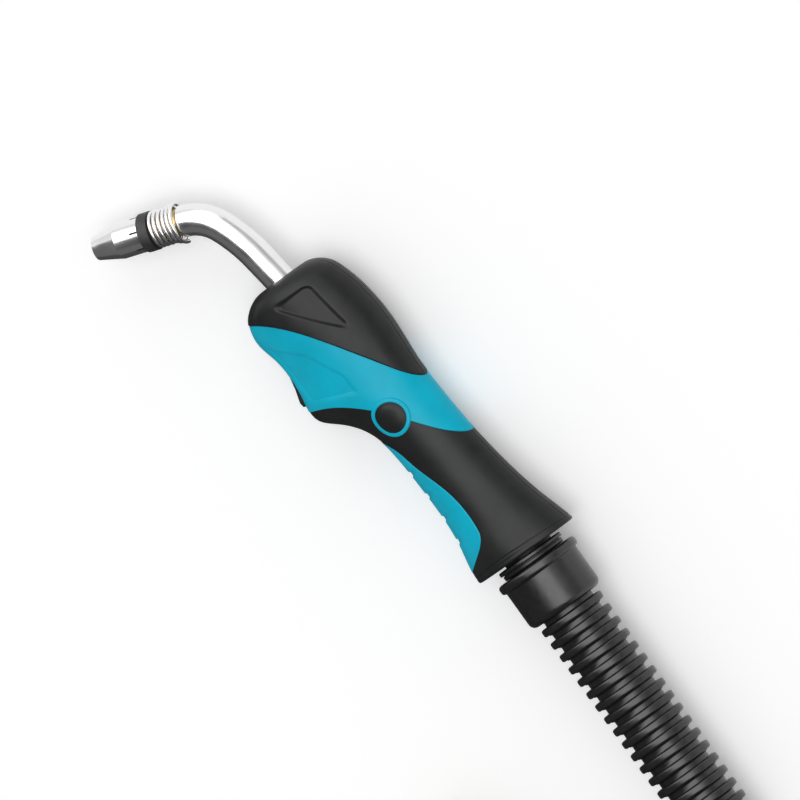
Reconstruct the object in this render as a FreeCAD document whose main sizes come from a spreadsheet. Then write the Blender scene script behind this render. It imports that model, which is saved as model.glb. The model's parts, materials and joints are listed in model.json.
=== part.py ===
"""Gas shielded arc welding torch with swan neck, ergonomic handle, ball joint and coiled cable.

The torch lies on its left and right symmetry plane: +X runs forward along the handle,
+Y points to the trigger side and +Z to the torch's left. All sizes are in millimetres.
"""
import math
import os

import FreeCAD
import Part
import Sketcher

V = FreeCAD.Vector
doc = FreeCAD.newDocument("torch")

# Driving dimensions

SIZES = {
    # handle
    "handle_len": 200.0,
    "oval_fullness": 0.8,
    "shell_wall": 3.0,
    "cover_thick": 1.4,
    "front_round": 11.0,
    "rear_round": 1.8,
    "front_wall": 8.0,
    "rear_wall": 25.0,
    "lip_len": 3.2,
    "lip_dia": 30.0,
    "lip_round": 2.0,
    # neck, measured along its own line
    "neck_dia": 18.0,
    "neck_wall": 1.2,
    "neck_root_back": 50.0,
    "neck_root_y": 18.3,
    "neck_rise": 9.0,
    "neck_straight": 67.9,
    "bend_a_radius": 95.0,
    "bend_a_angle": 16.0,
    "bend_b_radius": 28.0,
    "bend_b_angle": 48.0,
    "inner_tube_dia": 8.0,
    "inner_tube_bore": 4.4,
    "liner_dia": 3.8,
    "liner_bore": 2.0,
    "tube_gap": 0.1,
    "nut_dia": 20.0,
    "nut_len": 24.0,
    "nut_grip": 8.0,
    "ferrule_dia": 17.0,
    "ferrule_len": 18.0,
    # nozzle end, heights above the end of the neck
    "adapter_dia": 15.4,
    "adapter_len": 18.0,
    "adapter_nose_dia": 12.0,
    "adapter_nose_len": 6.3,
    "spring_wire": 2.2,
    "spring_inner_dia": 17.0,
    "spring_pitch": 2.85,
    "spring_turns": 5.5,
    "spring_flare": 0.9,
    "ring_len": 6.1,
    "ring_dia": 22.2,
    "seat_dia": 17.2,
    "seat_len": 12.0,
    "nozzle_dia": 20.6,
    "nozzle_bore": 17.4,
    "nozzle_tip_dia": 14.0,
    "nozzle_tip_bore": 11.6,
    "nozzle_len": 30.6,
    "cone_len": 15.2,
    "slit_wide": 1.2,
    "slit_len": 5.0,
    "diffuser_dia": 11.6,
    "diffuser_len": 14.0,
    "gas_hole_dia": 1.6,
    "tip_dia": 8.0,
    "tip_len": 14.0,
    "tip_nose_dia": 5.6,
    "wire_bore": 1.3,
    "thread_dia": 6.0,
    "thread_len": 6.0,
    # trigger and switch
    "trigger_wide": 15.4,
    "slot_gap": 0.5,
    "pin_dia": 3.0,
    "pin_len": 30.0,
    "pin_back": 21.0,
    "pin_y": 47.3,
    "switch_len": 22.0,
    "switch_wide": 9.6,
    "switch_deep": 7.8,
    "switch_back": 47.0,
    "switch_y": 38.2,
    "plunger_dia": 3.6,
    "plunger_out": 3.6,
    "plunger_hold": 0.8,
    "plunger_gap": 0.2,
    "plunger_well": 4.6,
    "plunger_back": 50.0,
    "return_back": 40.0,
    "return_wire": 0.7,
    "return_dia": 5.0,
    "return_len": 8.6,
    "return_turns": 5.0,
    # screws
    "screw_dia": 3.0,
    "screw_head_dia": 5.8,
    "screw_head_len": 2.2,
    "screw_len": 18.0,
    "boss_dia": 7.0,
    "screw_seat": 8.0,
    # ball joint and hose end, measured rearwards from the handle
    "ball_dia": 41.4,
    "ball_gap": 0.3,
    "ball_depth": 14.0,
    "ball_front": 10.0,
    "ball_rear": 8.5,
    "stem_dia": 30.0,
    "ring_gap": 2.1,
    "joint_ring_dia": 38.8,
    "joint_ring_len": 3.9,
    "groove_wide": 1.0,
    "groove_deep": 1.0,
    "mouth_dia": 46.4,
    "mouth_deep": 3.6,
    "spigot_dia": 31.6,
    "spigot_len": 24.0,
    "rim_dia": 50.6,
    "rim_len": 7.7,
    "rim_round": 2.2,
    "collar_dia": 46.3,
    "collar_len": 30.2,
    "collar_round": 4.0,
    "spin_gap": 0.3,
    "sleeve_len": 173.7,
    "sleeve_root_dia": 31.7,
    "sleeve_rib_dia": 39.4,
    "sleeve_bore": 19.4,
    "rib_pitch": 8.39,
    "rib_wide": 4.35,
    "rib_slope": 0.5,
    "rib_first": 7.0,
    "rib_count": 19,
    # cable
    "cable_dia": 17.0,
    "inner_cable_dia": 12.4,
    "cable_cut": 3.0,
    "coil_mean_radius": 85.0,
    "coil_turns": 4.65,
    "coil_entry_deg": 27.0,
    "coil_step": 18.0,
    "coil_lift": 17.6,
    "coil_lead": 8.0,
    "coil_x": -370.2,
    "coil_y": 63.4,
    # machine plug, measured forwards from where the cable enters it
    "plug_x": -253.0,
    "plug_sleeve_len": 46.0,
    "plug_sleeve_dia": 23.0,
    "plug_sleeve_end_dia": 27.0,
    "plug_house_len": 68.0,
    "plug_house_dia": 38.0,
    "plug_house_wall": 2.5,
    "plug_nut_dia": 44.0,
    "plug_nut_len": 20.0,
    "plug_nut_bore": 33.0,
    "plug_nut_gap": 0.5,
    "plug_flange_dia": 31.0,
    "plug_nose_dia": 10.0,
    "plug_nose_len": 30.0,
    "plug_shoulder_dia": 12.0,
    "plug_shoulder_len": 14.0,
    "plug_bore": 4.8,
    "plug_collet_dia": 6.4,
    "plug_collet_len": 13.0,
    "plug_pin_dia": 2.4,
    "plug_pin_len": 9.0,
    "plug_pin_place": 10.0,
    "seal_wire": 1.6,
    "seal_back": 1.4,
    "seal_pitch": 2.2,
}

sheet = doc.addObject("Spreadsheet::Sheet", "dim")
for row, (alias, value) in enumerate(SIZES.items(), start=1):
    sheet.set("A%d" % row, alias)
    sheet.set("B%d" % row, str(value))
    sheet.setAlias("B%d" % row, alias)
doc.recompute()


def size(alias):
    """The value of one cell of the sheet."""
    return float(getattr(sheet, alias))


# Handle stations: distance forward of the rear face, back, palm and half width
STATIONS = [
    (-1.2, -33.6, 34.3, 25.3),
    (10.0, -30.2, 33.0, 24.3),
    (22.0, -26.4, 30.6, 22.4),
    (38.0, -22.4, 29.0, 20.4),
    (60.0, -18.4, 29.3, 19.0),
    (85.0, -15.2, 31.0, 18.9),
    (100.0, -14.0, 34.6, 19.7),
    (109.0, -13.4, 40.2, 20.5),
    (116.0, -13.0, 47.4, 21.3),
    (122.0, -13.0, 54.6, 22.1),
    (128.0, -13.4, 57.4, 22.8),
    (140.0, -14.2, 55.9, 24.0),
    (152.0, -14.4, 54.7, 24.9),
    (165.0, -13.2, 55.8, 25.3),
    (178.0, -10.6, 58.8, 25.0),
    (190.0, -6.2, 56.2, 24.0),
    (200.0, -1.6, 50.6, 22.6),
]

# Edges of the teal covers and the recess, seen along Z, in handle coordinates
BAND_HEAD_EDGE = [(190, 64), (188, 51), (168.8, 23.9), (147.6, 8.3), (128.8, -2.6), (112.4, -12.1), (102, -21)]
BAND_GRIP_EDGE = [(66, -23), (74.1, -13.9), (81.9, -6.9), (95.3, 3.4), (111.7, 17.9), (124.3, 34.5), (132, 64)]
INSERT_EDGE = [(99, 38), (91.6, 28.5), (74.3, 19.7), (56.2, 11.9), (40.4, 7.6), (27.1, 6.9), (18, 10.2), (4, 38)]
RECESS_CORNERS = [(189.5, 31.0), (189.5, 4.5), (151.8, -2.6)]
EMBLEM_CENTRE = (102.5, 11.3)
EMBLEM_DIA = 18.0
EMBLEM_RING_DIA = 22.6
EMBLEM_THICK = 1.2
GRIP_NOTCHES = [25.6, 40.4, 55.8, 70.7]
NOTCH_RADIUS = 1.8
SCREW_PLACES = [(178, 2), (140, -5), (118, 38), (62, -10), (32, -13)]

# Free cable: hand chosen points after the sleeve, and the straight runs beside coil and plug
RUN_POINTS = [(-204, 0, 0), (-228, 0, 0), (-251.5, -2.5, -4.3), (-273.5, -7.6, -12.5)]
RUN_END = 22.6
TAIL_RUN = 22.0

parts = {}
torch_nodes = []


def keep(obj, label, cord=False):
    """Give a finished sub-part its label and put it on the export list."""
    obj.Label = label
    parts[label] = obj
    if not cord:
        torch_nodes.append(label)
    return obj


def feature(label, shape, cord=False):
    """A sub-part whose shape comes from Part functions."""
    obj = doc.addObject("Part::Feature", label)
    obj.Shape = shape
    return keep(obj, label, cord)


def origin_plane(body, role):
    """One of a body's own origin planes."""
    return next(item for item in body.Origin.OriginFeatures if item.Role == role)


def outline_sketch(body, name, plane, corners):
    """A closed polygon whose corners are bound to the sheet, one expression per coordinate."""
    sketch = body.newObject("Sketcher::SketchObject", name)
    sketch.AttachmentSupport = [(origin_plane(body, plane), "")]
    sketch.MapMode = "FlatFace"
    spots = [V(sheet.evalExpression(across), sheet.evalExpression(along), 0) for across, along in corners]
    count = len(spots)
    for i in range(count):
        sketch.addGeometry(Part.LineSegment(spots[i], spots[(i + 1) % count]), False)
    for i in range(count):
        sketch.addConstraint(Sketcher.Constraint("Coincident", i, 2, (i + 1) % count, 1))
    for i, (across, along) in enumerate(corners):
        for kind, axis, text, value in (("DistanceX", -2, across, spots[i].x), ("DistanceY", -1, along, spots[i].y)):
            if text == "0":
                sketch.addConstraint(Sketcher.Constraint("PointOnObject", i, 1, axis))
                continue
            index = sketch.addConstraint(Sketcher.Constraint(kind, -1, 1, i, 1, value))
            sketch.setExpression("Constraints[%d]" % index, text)
    return sketch


def turned(label, corners):
    """A body turned about its own Z axis from (radius, height) corners."""
    body = doc.addObject("PartDesign::Body", label)
    sketch = outline_sketch(body, label + "_outline", "XZ_Plane", corners)
    turn = body.newObject("PartDesign::Revolution", label + "_turn")
    turn.Profile = sketch
    turn.ReferenceAxis = (sketch, ["V_Axis"])
    turn.Angle = 360
    return body


def along_x(x, y=0.0, z=0.0, reverse=False):
    """A placement that lays a turned piece along X, forwards or rearwards."""
    return FreeCAD.Placement(V(x, y, z), FreeCAD.Rotation(V(0, 0, 1), V(-1 if reverse else 1, 0, 0)))


def box(x0, x1, y0, y1, z0, z1):
    """A box between two corners."""
    return Part.makeBox(x1 - x0, y1 - y0, z1 - z0, V(x0, y0, z0))


def union(shapes):
    """One solid from several that touch or overlap."""
    return shapes[0].multiFuse(shapes[1:]).removeSplitter()


def tube_along(wire, radius):
    """A round tube swept along a wire, starting square to it."""
    first = wire.Edges[0]
    start = first.valueAt(first.FirstParameter)
    ring = Part.Wire(Part.makeCircle(radius, start, first.tangentAt(first.FirstParameter)))
    swept = wire.makePipeShell([ring], True, False)
    expected = math.pi * radius ** 2 * wire.Length
    if abs(swept.Volume - expected) > 0.02 * expected:
        raise ValueError("tube volume %.0f is not section times length %.0f" % (swept.Volume, expected))
    return swept


def arc_from(start, tangent, end):
    """The arc that leaves start along tangent and reaches end."""
    chord = end - start
    line = V(chord).normalize()
    side = tangent - line * tangent.dot(line)
    bend = tangent.getAngle(chord)
    middle = (start + end) * 0.5 + side.normalize() * (chord.Length / 2 * math.tan(bend / 2))
    return Part.Arc(start, middle, end).toShape()


def biarc(p0, t0, p1, t1):
    """Two tangent arcs from p0 with direction t0 to p1 with direction t1."""
    gap = p1 - p0
    both = t0 + t1
    sharp = 2 * (1 - t0.dot(t1))
    reach = (math.sqrt(gap.dot(both) ** 2 + sharp * gap.dot(gap)) - gap.dot(both)) / sharp
    joint = (p0 + t0 * reach + p1 - t1 * reach) * 0.5
    back = arc_from(p1, t1 * -1, joint)
    back.reverse()
    return [arc_from(p0, t0, joint), back]


def wound_wire(place, turns, lead=0.0):
    """A wire of biarcs through place(turn) at about quarter turns, with straight ends of length lead."""
    count = math.ceil(turns * 4)
    step = turns / count

    def heading(turn):
        return (place(turn + 1e-4) - place(turn - 1e-4)).normalize()

    edges = []
    if lead:
        edges.append(Part.LineSegment(place(0) - heading(0) * lead, place(0)).toShape())
    for i in range(count):
        a, b = i * step, (i + 1) * step
        edges += biarc(place(a), heading(a), place(b), heading(b))
    if lead:
        edges.append(Part.LineSegment(place(turns), place(turns) + heading(turns) * lead).toShape())
    return Part.Wire(edges)


def least_gap(place, turns, diameter):
    """Smallest distance between neighbouring turns, surface to surface."""
    steps = int(turns * 72)
    spots = [place(turns * i / steps) for i in range(steps + 1)]
    apart = int(steps / turns / 2)
    near = min((spots[i] - spots[j]).Length for i in range(steps) for j in range(i + apart, steps + 1))
    return near - diameter


def cable_wire(points):
    """Straight runs joined by tangent arcs, each as large as its two runs allow."""
    spots = [V(*p) for p in points]
    edges = []
    at = spots[0]
    radii = []
    for before, here, after in zip(spots, spots[1:], spots[2:]):
        turn_in = (here - before).normalize()
        turn_out = (after - here).normalize()
        half = turn_in.getAngle(turn_out) / 2
        shorter = min((here - before).Length, (after - here).Length)
        reach = 0.45 * shorter
        radii.append(reach / math.tan(half))
        start = here - turn_in * reach
        edges.append(Part.LineSegment(at, start).toShape())
        at = here + turn_out * reach
        edges.append(arc_from(start, turn_in, at))
    edges.append(Part.LineSegment(at, spots[-1]).toShape())
    return Part.Wire(edges), radii


# Handle

def oval(x, back, palm, half_wide, inset):
    """A closed oval of six tangent arcs across the handle, drawn in by inset."""
    middle = (back + palm) / 2
    a = (palm - back) / 2 - inset
    b = half_wide - inset
    r1 = half_wide * size("oval_fullness") - inset
    r2 = ((a - r1) ** 2 + b * b - r1 * r1) / (2 * (b - r1))
    reach = r2 - r1
    along, across = (a - r1) / reach, (r2 - b) / reach
    join_y, join_z = (a - r1) + r1 * along, r1 * across
    half = math.acos(along) / 2
    mid_y, mid_z = (a - r1) + r1 * math.cos(half), r1 * math.sin(half)

    def spot(y, z):
        return V(x, middle + y, z)

    edges = []
    for side in (1, -1):
        first = [(a, 0), (mid_y, mid_z), (join_y, join_z)]
        second = [(join_y, join_z), (0, b), (-join_y, join_z)]
        third = [(-join_y, join_z), (-mid_y, mid_z), (-a, 0)]
        runs = [first, second, third] if side > 0 else [third[::-1], second[::-1], first[::-1]]
        for run in runs:
            edges.append(Part.Arc(*[spot(y, side * z) for y, z in run]).toShape())
    return Part.Wire(edges)


def handle_form(inset):
    """The whole outer form of the handle, drawn in by inset."""
    stretch = size("handle_len") / STATIONS[-1][0]
    rings = [oval(x * stretch, back, palm, wide, inset) for x, back, palm, wide in STATIONS]
    return Part.makeLoft(rings, True, False)


def ring_edges(solid, x):
    """The edges that lie in the plane across the handle at x."""
    return [e for e in solid.Edges if abs(e.BoundBox.XMin - x) < 0.01 and abs(e.BoundBox.XMax - x) < 0.01]


def eased_ends(solid):
    """Round the front edge of the head and the rear edge."""
    solid = solid.makeFillet(size("front_round"), ring_edges(solid, size("handle_len")))
    return solid.makeFillet(size("rear_round"), ring_edges(solid, solid.BoundBox.XMin))


def spline_edge(points):
    """A smooth curve in the XY plane below everything."""
    curve = Part.BSplineCurve()
    curve.interpolate([V(x, y, -60) for x, y in points])
    return curve.toShape()


def zone(edge_a, edge_b=None):
    """A prism along Z between one or two smooth edges."""
    rim = [spline_edge(edge_a)]
    if edge_b:
        rim.append(Part.LineSegment(V(*edge_a[-1], -60), V(*edge_b[0], -60)).toShape())
        rim.append(spline_edge(edge_b))
        rim.append(Part.LineSegment(V(*edge_b[-1], -60), V(*edge_a[0], -60)).toShape())
    else:
        rim.append(Part.LineSegment(V(*edge_a[-1], -60), V(*edge_a[0], -60)).toShape())
    return Part.Face(Part.Wire(rim)).extrude(V(0, 0, 120))


def rounded_prism(corners, radius):
    """A prism along Z with rounded corners."""
    loop = [V(x, y, -60) for x, y in corners]
    face = Part.Face(Part.makePolygon(loop + [loop[0]]))
    prism = face.extrude(V(0, 0, 120))
    upright = [e for e in prism.Edges if e.BoundBox.ZLength > 100]
    return prism.makeFillet(radius, upright)


def upright_cylinder(x, y, radius, z0, z1):
    """A cylinder along Z."""
    return Part.makeCylinder(radius, z1 - z0, V(x, y, z0))


neck_start = V(size("handle_len") - size("neck_root_back"), size("neck_root_y"), 0)
neck_heading = V(math.cos(math.radians(size("neck_rise"))), math.sin(math.radians(size("neck_rise"))), 0)


def neck_line(back_off=0.0, end_off=0.0):
    """The line of the neck, from its root to its end, with both ends moved along it."""
    angle = math.radians(size("neck_rise"))
    at = neck_start - neck_heading * back_off
    heading = V(neck_heading)
    end = at + heading * (size("neck_straight") + back_off)
    edges = [Part.LineSegment(at, end).toShape()]
    at = end
    for name in ("bend_a", "bend_b"):
        radius = size(name + "_radius")
        turn = math.radians(size(name + "_angle"))
        centre = at + V(-math.sin(angle), math.cos(angle), 0) * radius

        def on_arc(part, centre=centre, radius=radius, angle=angle, turn=turn):
            now = angle + turn * part
            return centre + V(math.sin(now), -math.cos(now), 0) * radius

        edges.append(Part.Arc(on_arc(0), on_arc(0.5), on_arc(1)).toShape())
        at = on_arc(1)
        angle += turn
    heading = V(math.cos(angle), math.sin(angle), 0)
    if end_off > 0:
        edges.append(Part.LineSegment(at, at + heading * end_off).toShape())
    return Part.Wire(edges), at, heading


neck_wire, neck_end, neck_way = neck_line()
nozzle_place = FreeCAD.Placement(neck_end, FreeCAD.Rotation(V(0, 0, 1), neck_way))
root_place = FreeCAD.Placement(neck_start, FreeCAD.Rotation(V(0, 0, 1), neck_heading))

# Trigger outline and the span of its slot, measured from its pin
TRIGGER_OUTLINE = [(6.0, -3.1), (6.0, 2.3), (-3.0, 4.3), (-13.0, 3.9), (-23.0, 5.3), (-33.0, 7.5),
                   (-41.0, 10.1), (-43.8, 9.7), (-44.8, 7.3), (-44.8, 3.3), (-39.0, 0.1), (-31.0, -1.1),
                   (-31.0, -5.2), (-27.0, -5.2), (-27.0, -1.6), (-9.0, -3.1)]
SLOT_SPAN = (TRIGGER_OUTLINE[8][0] - 1.2, 8.0)

slot_half = size("trigger_wide") / 2 + size("slot_gap")
pin_x, pin_y = size("handle_len") - size("pin_back"), size("pin_y")
switch_x = size("handle_len") - size("switch_back")


def make_handle():
    """Shells, teal covers, insert and emblems."""
    outer = eased_ends(handle_form(0.0))
    core = handle_form(size("cover_thick"))
    inner = handle_form(size("shell_wall"))
    length = size("handle_len")
    hollow = inner.common(box(size("rear_wall"), length - size("front_wall"), -80, 90, -60, 60))
    skin = outer.cut(core)
    whole = outer.cut(hollow)

    lip_base = neck_start + neck_heading * (size("neck_root_back") / neck_heading.x - 6)
    lip = Part.makeCylinder(size("lip_dia") / 2, size("lip_len") + 6, lip_base, neck_heading)
    lip = lip.makeFillet(size("lip_round"), [max(lip.Edges, key=lambda edge: edge.CenterOfMass.dot(neck_heading))])
    bosses = [upright_cylinder(x, y, size("boss_dia") / 2, -30, 30) for x, y in SCREW_PLACES]
    for side in (1, -1):
        inside = slot_half if side > 0 else -30
        outside = 30 if side > 0 else -slot_half
        bosses.append(upright_cylinder(pin_x, pin_y, size("pin_dia") * 1.6, inside, outside))
        hold = size("switch_wide") / 2 - 1.0
        for end in (-1, 1):
            x = switch_x + end * (size("switch_len") / 2 + 1.0)
            low, high = (hold, 30) if side > 0 else (-30, -hold)
            bosses.append(box(x - 1.0, x + 1.0, size("switch_y") - size("switch_deep"), size("switch_y"), low, high))
    whole = union([whole, lip] + [boss.common(outer) for boss in bosses])

    ball = V(size("ball_depth"), 0, 0)
    cuts = [
        Part.makeSphere(size("ball_dia") / 2 + size("ball_gap"), ball),
        Part.makeCylinder(size("mouth_dia") / 2, size("mouth_deep") + 9, V(-9, 0, 0), V(1, 0, 0)),
        Part.makeCylinder(size("neck_dia") / 2 + size("tube_gap"), 120, neck_start, neck_heading),
        box(pin_x + SLOT_SPAN[0], pin_x + SLOT_SPAN[1], pin_y - 5.3, pin_y + 28, -slot_half, slot_half),
        upright_cylinder(pin_x, pin_y, size("pin_dia") / 2, -size("pin_len") / 2, size("pin_len") / 2),
    ]
    for x, y in SCREW_PLACES:
        cuts.append(upright_cylinder(x, y, size("screw_dia") / 2, -size("screw_seat") - 1,
                                     size("screw_len") - size("screw_seat")))
        cuts.append(upright_cylinder(x, y, size("screw_head_dia") / 2 + 0.4, -40, -size("screw_seat")))
    whole = whole.cut(cuts)

    band_zone = zone(BAND_HEAD_EDGE, BAND_GRIP_EDGE).fuse(
        upright_cylinder(EMBLEM_CENTRE[0], EMBLEM_CENTRE[1], EMBLEM_RING_DIA / 2, -60, 60))
    emblem_hole = upright_cylinder(EMBLEM_CENTRE[0], EMBLEM_CENTRE[1], EMBLEM_DIA / 2, -60, 60)
    insert_zone = zone(INSERT_EDGE)
    bands = skin.common(band_zone).cut([emblem_hole] + cuts)
    insert = skin.common(insert_zone)
    for x in GRIP_NOTCHES:
        palm = next(p for s, _, p, _ in STATIONS if s >= x)
        insert = insert.cut(upright_cylinder(x, palm + 0.4, NOTCH_RADIUS, -60, 60))
    recess = skin.common(rounded_prism(RECESS_CORNERS, 3.0))
    black = whole.cut([skin.common(band_zone), skin.common(insert_zone), skin.common(emblem_hole), recess])
    emblem_wall = handle_form(size("cover_thick") - EMBLEM_THICK).cut(core)
    emblems = emblem_wall.common(emblem_hole)

    upper = box(-10, length + 40, -90, 90, 0, 60)
    lower = box(-10, length + 40, -90, 90, -60, 0)
    for side, half in (("left", upper), ("right", lower)):
        feature(side + "_shell", largest(black.common(half)))
        feature(side + "_band", largest(bands.common(half)))
        feature(side + "_emblem", largest(emblems.common(half)))
    feature("palm_insert", largest(insert))


def largest(shape):
    """The largest solid of a shape, without slivers."""
    return max(shape.Solids, key=lambda solid: solid.Volume)


make_handle()


# Neck and what joins it to the cable

def cylinder(label, radius, height):
    """A bound cylinder primitive."""
    obj = doc.addObject("Part::Cylinder", label)
    obj.setExpression("Radius", radius)
    obj.setExpression("Height", height)
    return obj


def make_neck():
    """The bent tubes, one inside the other, and the brass nut and ferrule behind them."""
    outer = size("neck_dia") / 2
    bore = outer - size("neck_wall")
    core = size("inner_tube_dia") / 2
    gap = size("tube_gap")
    feature("neck_tube", tube_along(neck_wire, outer).cut(tube_along(neck_wire, bore)))
    feature("neck_insulation",
            tube_along(neck_wire, bore - gap).cut(tube_along(neck_wire, core + gap)))
    inner_end = size("adapter_len") + size("adapter_nose_len")
    inner_wire = neck_line(0, inner_end)[0]
    feature("inner_tube", tube_along(inner_wire, core).cut(tube_along(inner_wire, size("inner_tube_bore") / 2)))
    feature("wire_liner", tube_along(inner_wire, size("liner_dia") / 2).cut(tube_along(inner_wire, size("liner_bore") / 2)))

    nut = turned("neck_nut", [
        ("0", "dim.nut_grip - dim.nut_len"), ("dim.nut_dia / 2", "dim.nut_grip - dim.nut_len"),
        ("dim.nut_dia / 2", "dim.nut_grip"), ("dim.neck_dia / 2", "dim.nut_grip"),
        ("dim.neck_dia / 2", "0"), ("0", "0")])
    keep(nut, "neck_nut").Placement = root_place
    ferrule = turned("cable_ferrule", [
        ("0", "dim.nut_grip - dim.nut_len - dim.ferrule_len"),
        ("dim.ferrule_dia / 2", "dim.nut_grip - dim.nut_len - dim.ferrule_len"),
        ("dim.ferrule_dia / 2", "dim.nut_grip - dim.nut_len"), ("0", "dim.nut_grip - dim.nut_len")])
    keep(ferrule, "cable_ferrule").Placement = root_place

    behind = size("nut_len") - size("nut_grip") + size("ferrule_len")
    start = neck_start - neck_heading * behind
    ease = start - neck_heading * 34
    rear = size("ball_depth") + size("cable_cut")
    points = [tuple(start), tuple(ease), (rear + 34, 0, 0), (rear, 0, 0)]
    feature("inner_cable", tube_along(cable_wire(points)[0], size("inner_cable_dia") / 2))


def make_nozzle_end():
    """Everything on the nozzle line, turned about Z and then placed on the end of the neck."""
    adapter = turned("neck_adapter", [
        ("dim.inner_tube_dia / 2", "0"), ("dim.adapter_dia / 2", "0"),
        ("dim.adapter_dia / 2", "dim.adapter_len"), ("dim.adapter_nose_dia / 2", "dim.adapter_len"),
        ("dim.adapter_nose_dia / 2", "dim.adapter_len + dim.adapter_nose_len"),
        ("dim.inner_tube_dia / 2", "dim.adapter_len + dim.adapter_nose_len")])
    keep(adapter, "neck_adapter")

    ring_top = "dim.adapter_len + dim.ring_len"
    insulator = turned("nozzle_insulator", [
        ("dim.adapter_nose_dia / 2", "dim.adapter_len"), ("dim.ring_dia / 2", "dim.adapter_len"),
        ("dim.ring_dia / 2", ring_top), ("dim.seat_dia / 2", ring_top),
        ("dim.seat_dia / 2", ring_top + " + dim.seat_len"),
        ("dim.adapter_nose_dia / 2", ring_top + " + dim.seat_len")])
    keep(insulator, "nozzle_insulator")

    rear = ring_top + " + dim.tube_gap"
    cone = rear + " + dim.nozzle_len - dim.cone_len"
    nozzle = turned("gas_nozzle", [
        ("dim.nozzle_bore / 2", rear), ("dim.nozzle_dia / 2", rear), ("dim.nozzle_dia / 2", cone),
        ("dim.nozzle_tip_dia / 2", rear + " + dim.nozzle_len"),
        ("dim.nozzle_tip_bore / 2", rear + " + dim.nozzle_len"), ("dim.nozzle_bore / 2", cone)])
    doc.recompute()
    slit_corners = [("-dim.slit_wide / 2", rear + " - 1"), ("dim.slit_wide / 2", rear + " - 1"),
                    ("dim.slit_wide / 2", rear + " + dim.slit_len"), ("-dim.slit_wide / 2", rear + " + dim.slit_len")]
    slit = outline_sketch(nozzle, "slit_outline", "XZ_Plane", slit_corners)
    full = nozzle.Shape.Volume
    cut = nozzle.newObject("PartDesign::Pocket", "slit")
    cut.Profile = slit
    cut.Type = "ThroughAll"
    doc.recompute()
    spread = nozzle.newObject("PartDesign::PolarPattern", "slits")
    spread.Originals = [cut]
    spread.Axis = (slit, ["V_Axis"])
    spread.Angle = 360
    spread.Occurrences = 6
    nozzle.Tip = spread
    doc.recompute()
    if not nozzle.Shape.Volume < full:
        raise ValueError("the slits cut nothing from the nozzle")
    keep(nozzle, "gas_nozzle")

    seat_top = "dim.adapter_len + dim.adapter_nose_len"
    diffuser_top = seat_top + " + dim.diffuser_len"
    diffuser = turned("diffuser_blank", [
        ("0", seat_top), ("dim.diffuser_dia / 2", seat_top), ("dim.diffuser_dia / 2", diffuser_top),
        ("dim.thread_dia / 2", diffuser_top), ("dim.thread_dia / 2", diffuser_top + " - dim.thread_len"),
        ("0", diffuser_top + " - dim.thread_len")])
    hole_height = sheet.evalExpression(seat_top) + size("diffuser_len") * 0.55
    holes = []
    for i in range(3):
        hole = cylinder("gas_hole_%d" % i, "dim.gas_hole_dia / 2", "dim.diffuser_dia + 2")
        turn = FreeCAD.Rotation(V(0, 0, 1), 60 * i).multiply(FreeCAD.Rotation(V(0, 1, 0), 90))
        hole.Placement = FreeCAD.Placement(turn.multVec(V(0, 0, -size("diffuser_dia") / 2 - 1)) + V(0, 0, hole_height), turn)
        holes.append(hole)
    bore = cylinder("diffuser_bore", "dim.wire_bore", "dim.diffuser_len * 2")
    bore.Placement.Base = V(0, 0, sheet.evalExpression(seat_top) - 1)
    holes.append(bore)
    drilled = doc.addObject("Part::Cut", "gas_diffuser")
    drilled.Base = diffuser
    together = doc.addObject("Part::MultiFuse", "gas_holes")
    together.Shapes = holes
    drilled.Tool = together
    keep(drilled, "gas_diffuser")

    shank = diffuser_top + " - dim.thread_len"
    tip = turned("contact_tip", [
        ("dim.wire_bore / 2", shank), ("dim.thread_dia / 2", shank), ("dim.thread_dia / 2", diffuser_top),
        ("dim.tip_dia / 2", diffuser_top), ("dim.tip_dia / 2", diffuser_top + " + dim.tip_len - 4"),
        ("dim.tip_nose_dia / 2", diffuser_top + " + dim.tip_len"), ("dim.wire_bore / 2", diffuser_top + " + dim.tip_len")])
    keep(tip, "contact_tip")

    wire = size("spring_wire")
    mean = size("spring_inner_dia") / 2 + wire / 2
    turns = size("spring_turns")
    top = size("adapter_len") - wire / 2 - 0.1

    def coil(turn):
        flare = size("spring_flare") * max(0.0, turn - 3.5)
        angle = -2 * math.pi * turn + math.radians(350)
        return V((mean + flare) * math.cos(angle), (mean + flare) * math.sin(angle), top - size("spring_pitch") * turn)

    gap = least_gap(coil, turns, wire)
    print("nozzle spring least gap %.2f mm" % gap)
    feature("nozzle_spring", tube_along(wound_wire(coil, turns, wire), wire / 2))
    for label in ("neck_adapter", "nozzle_insulator", "gas_nozzle", "gas_diffuser", "contact_tip", "nozzle_spring"):
        parts[label].Placement = nozzle_place


# Trigger and switch



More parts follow.
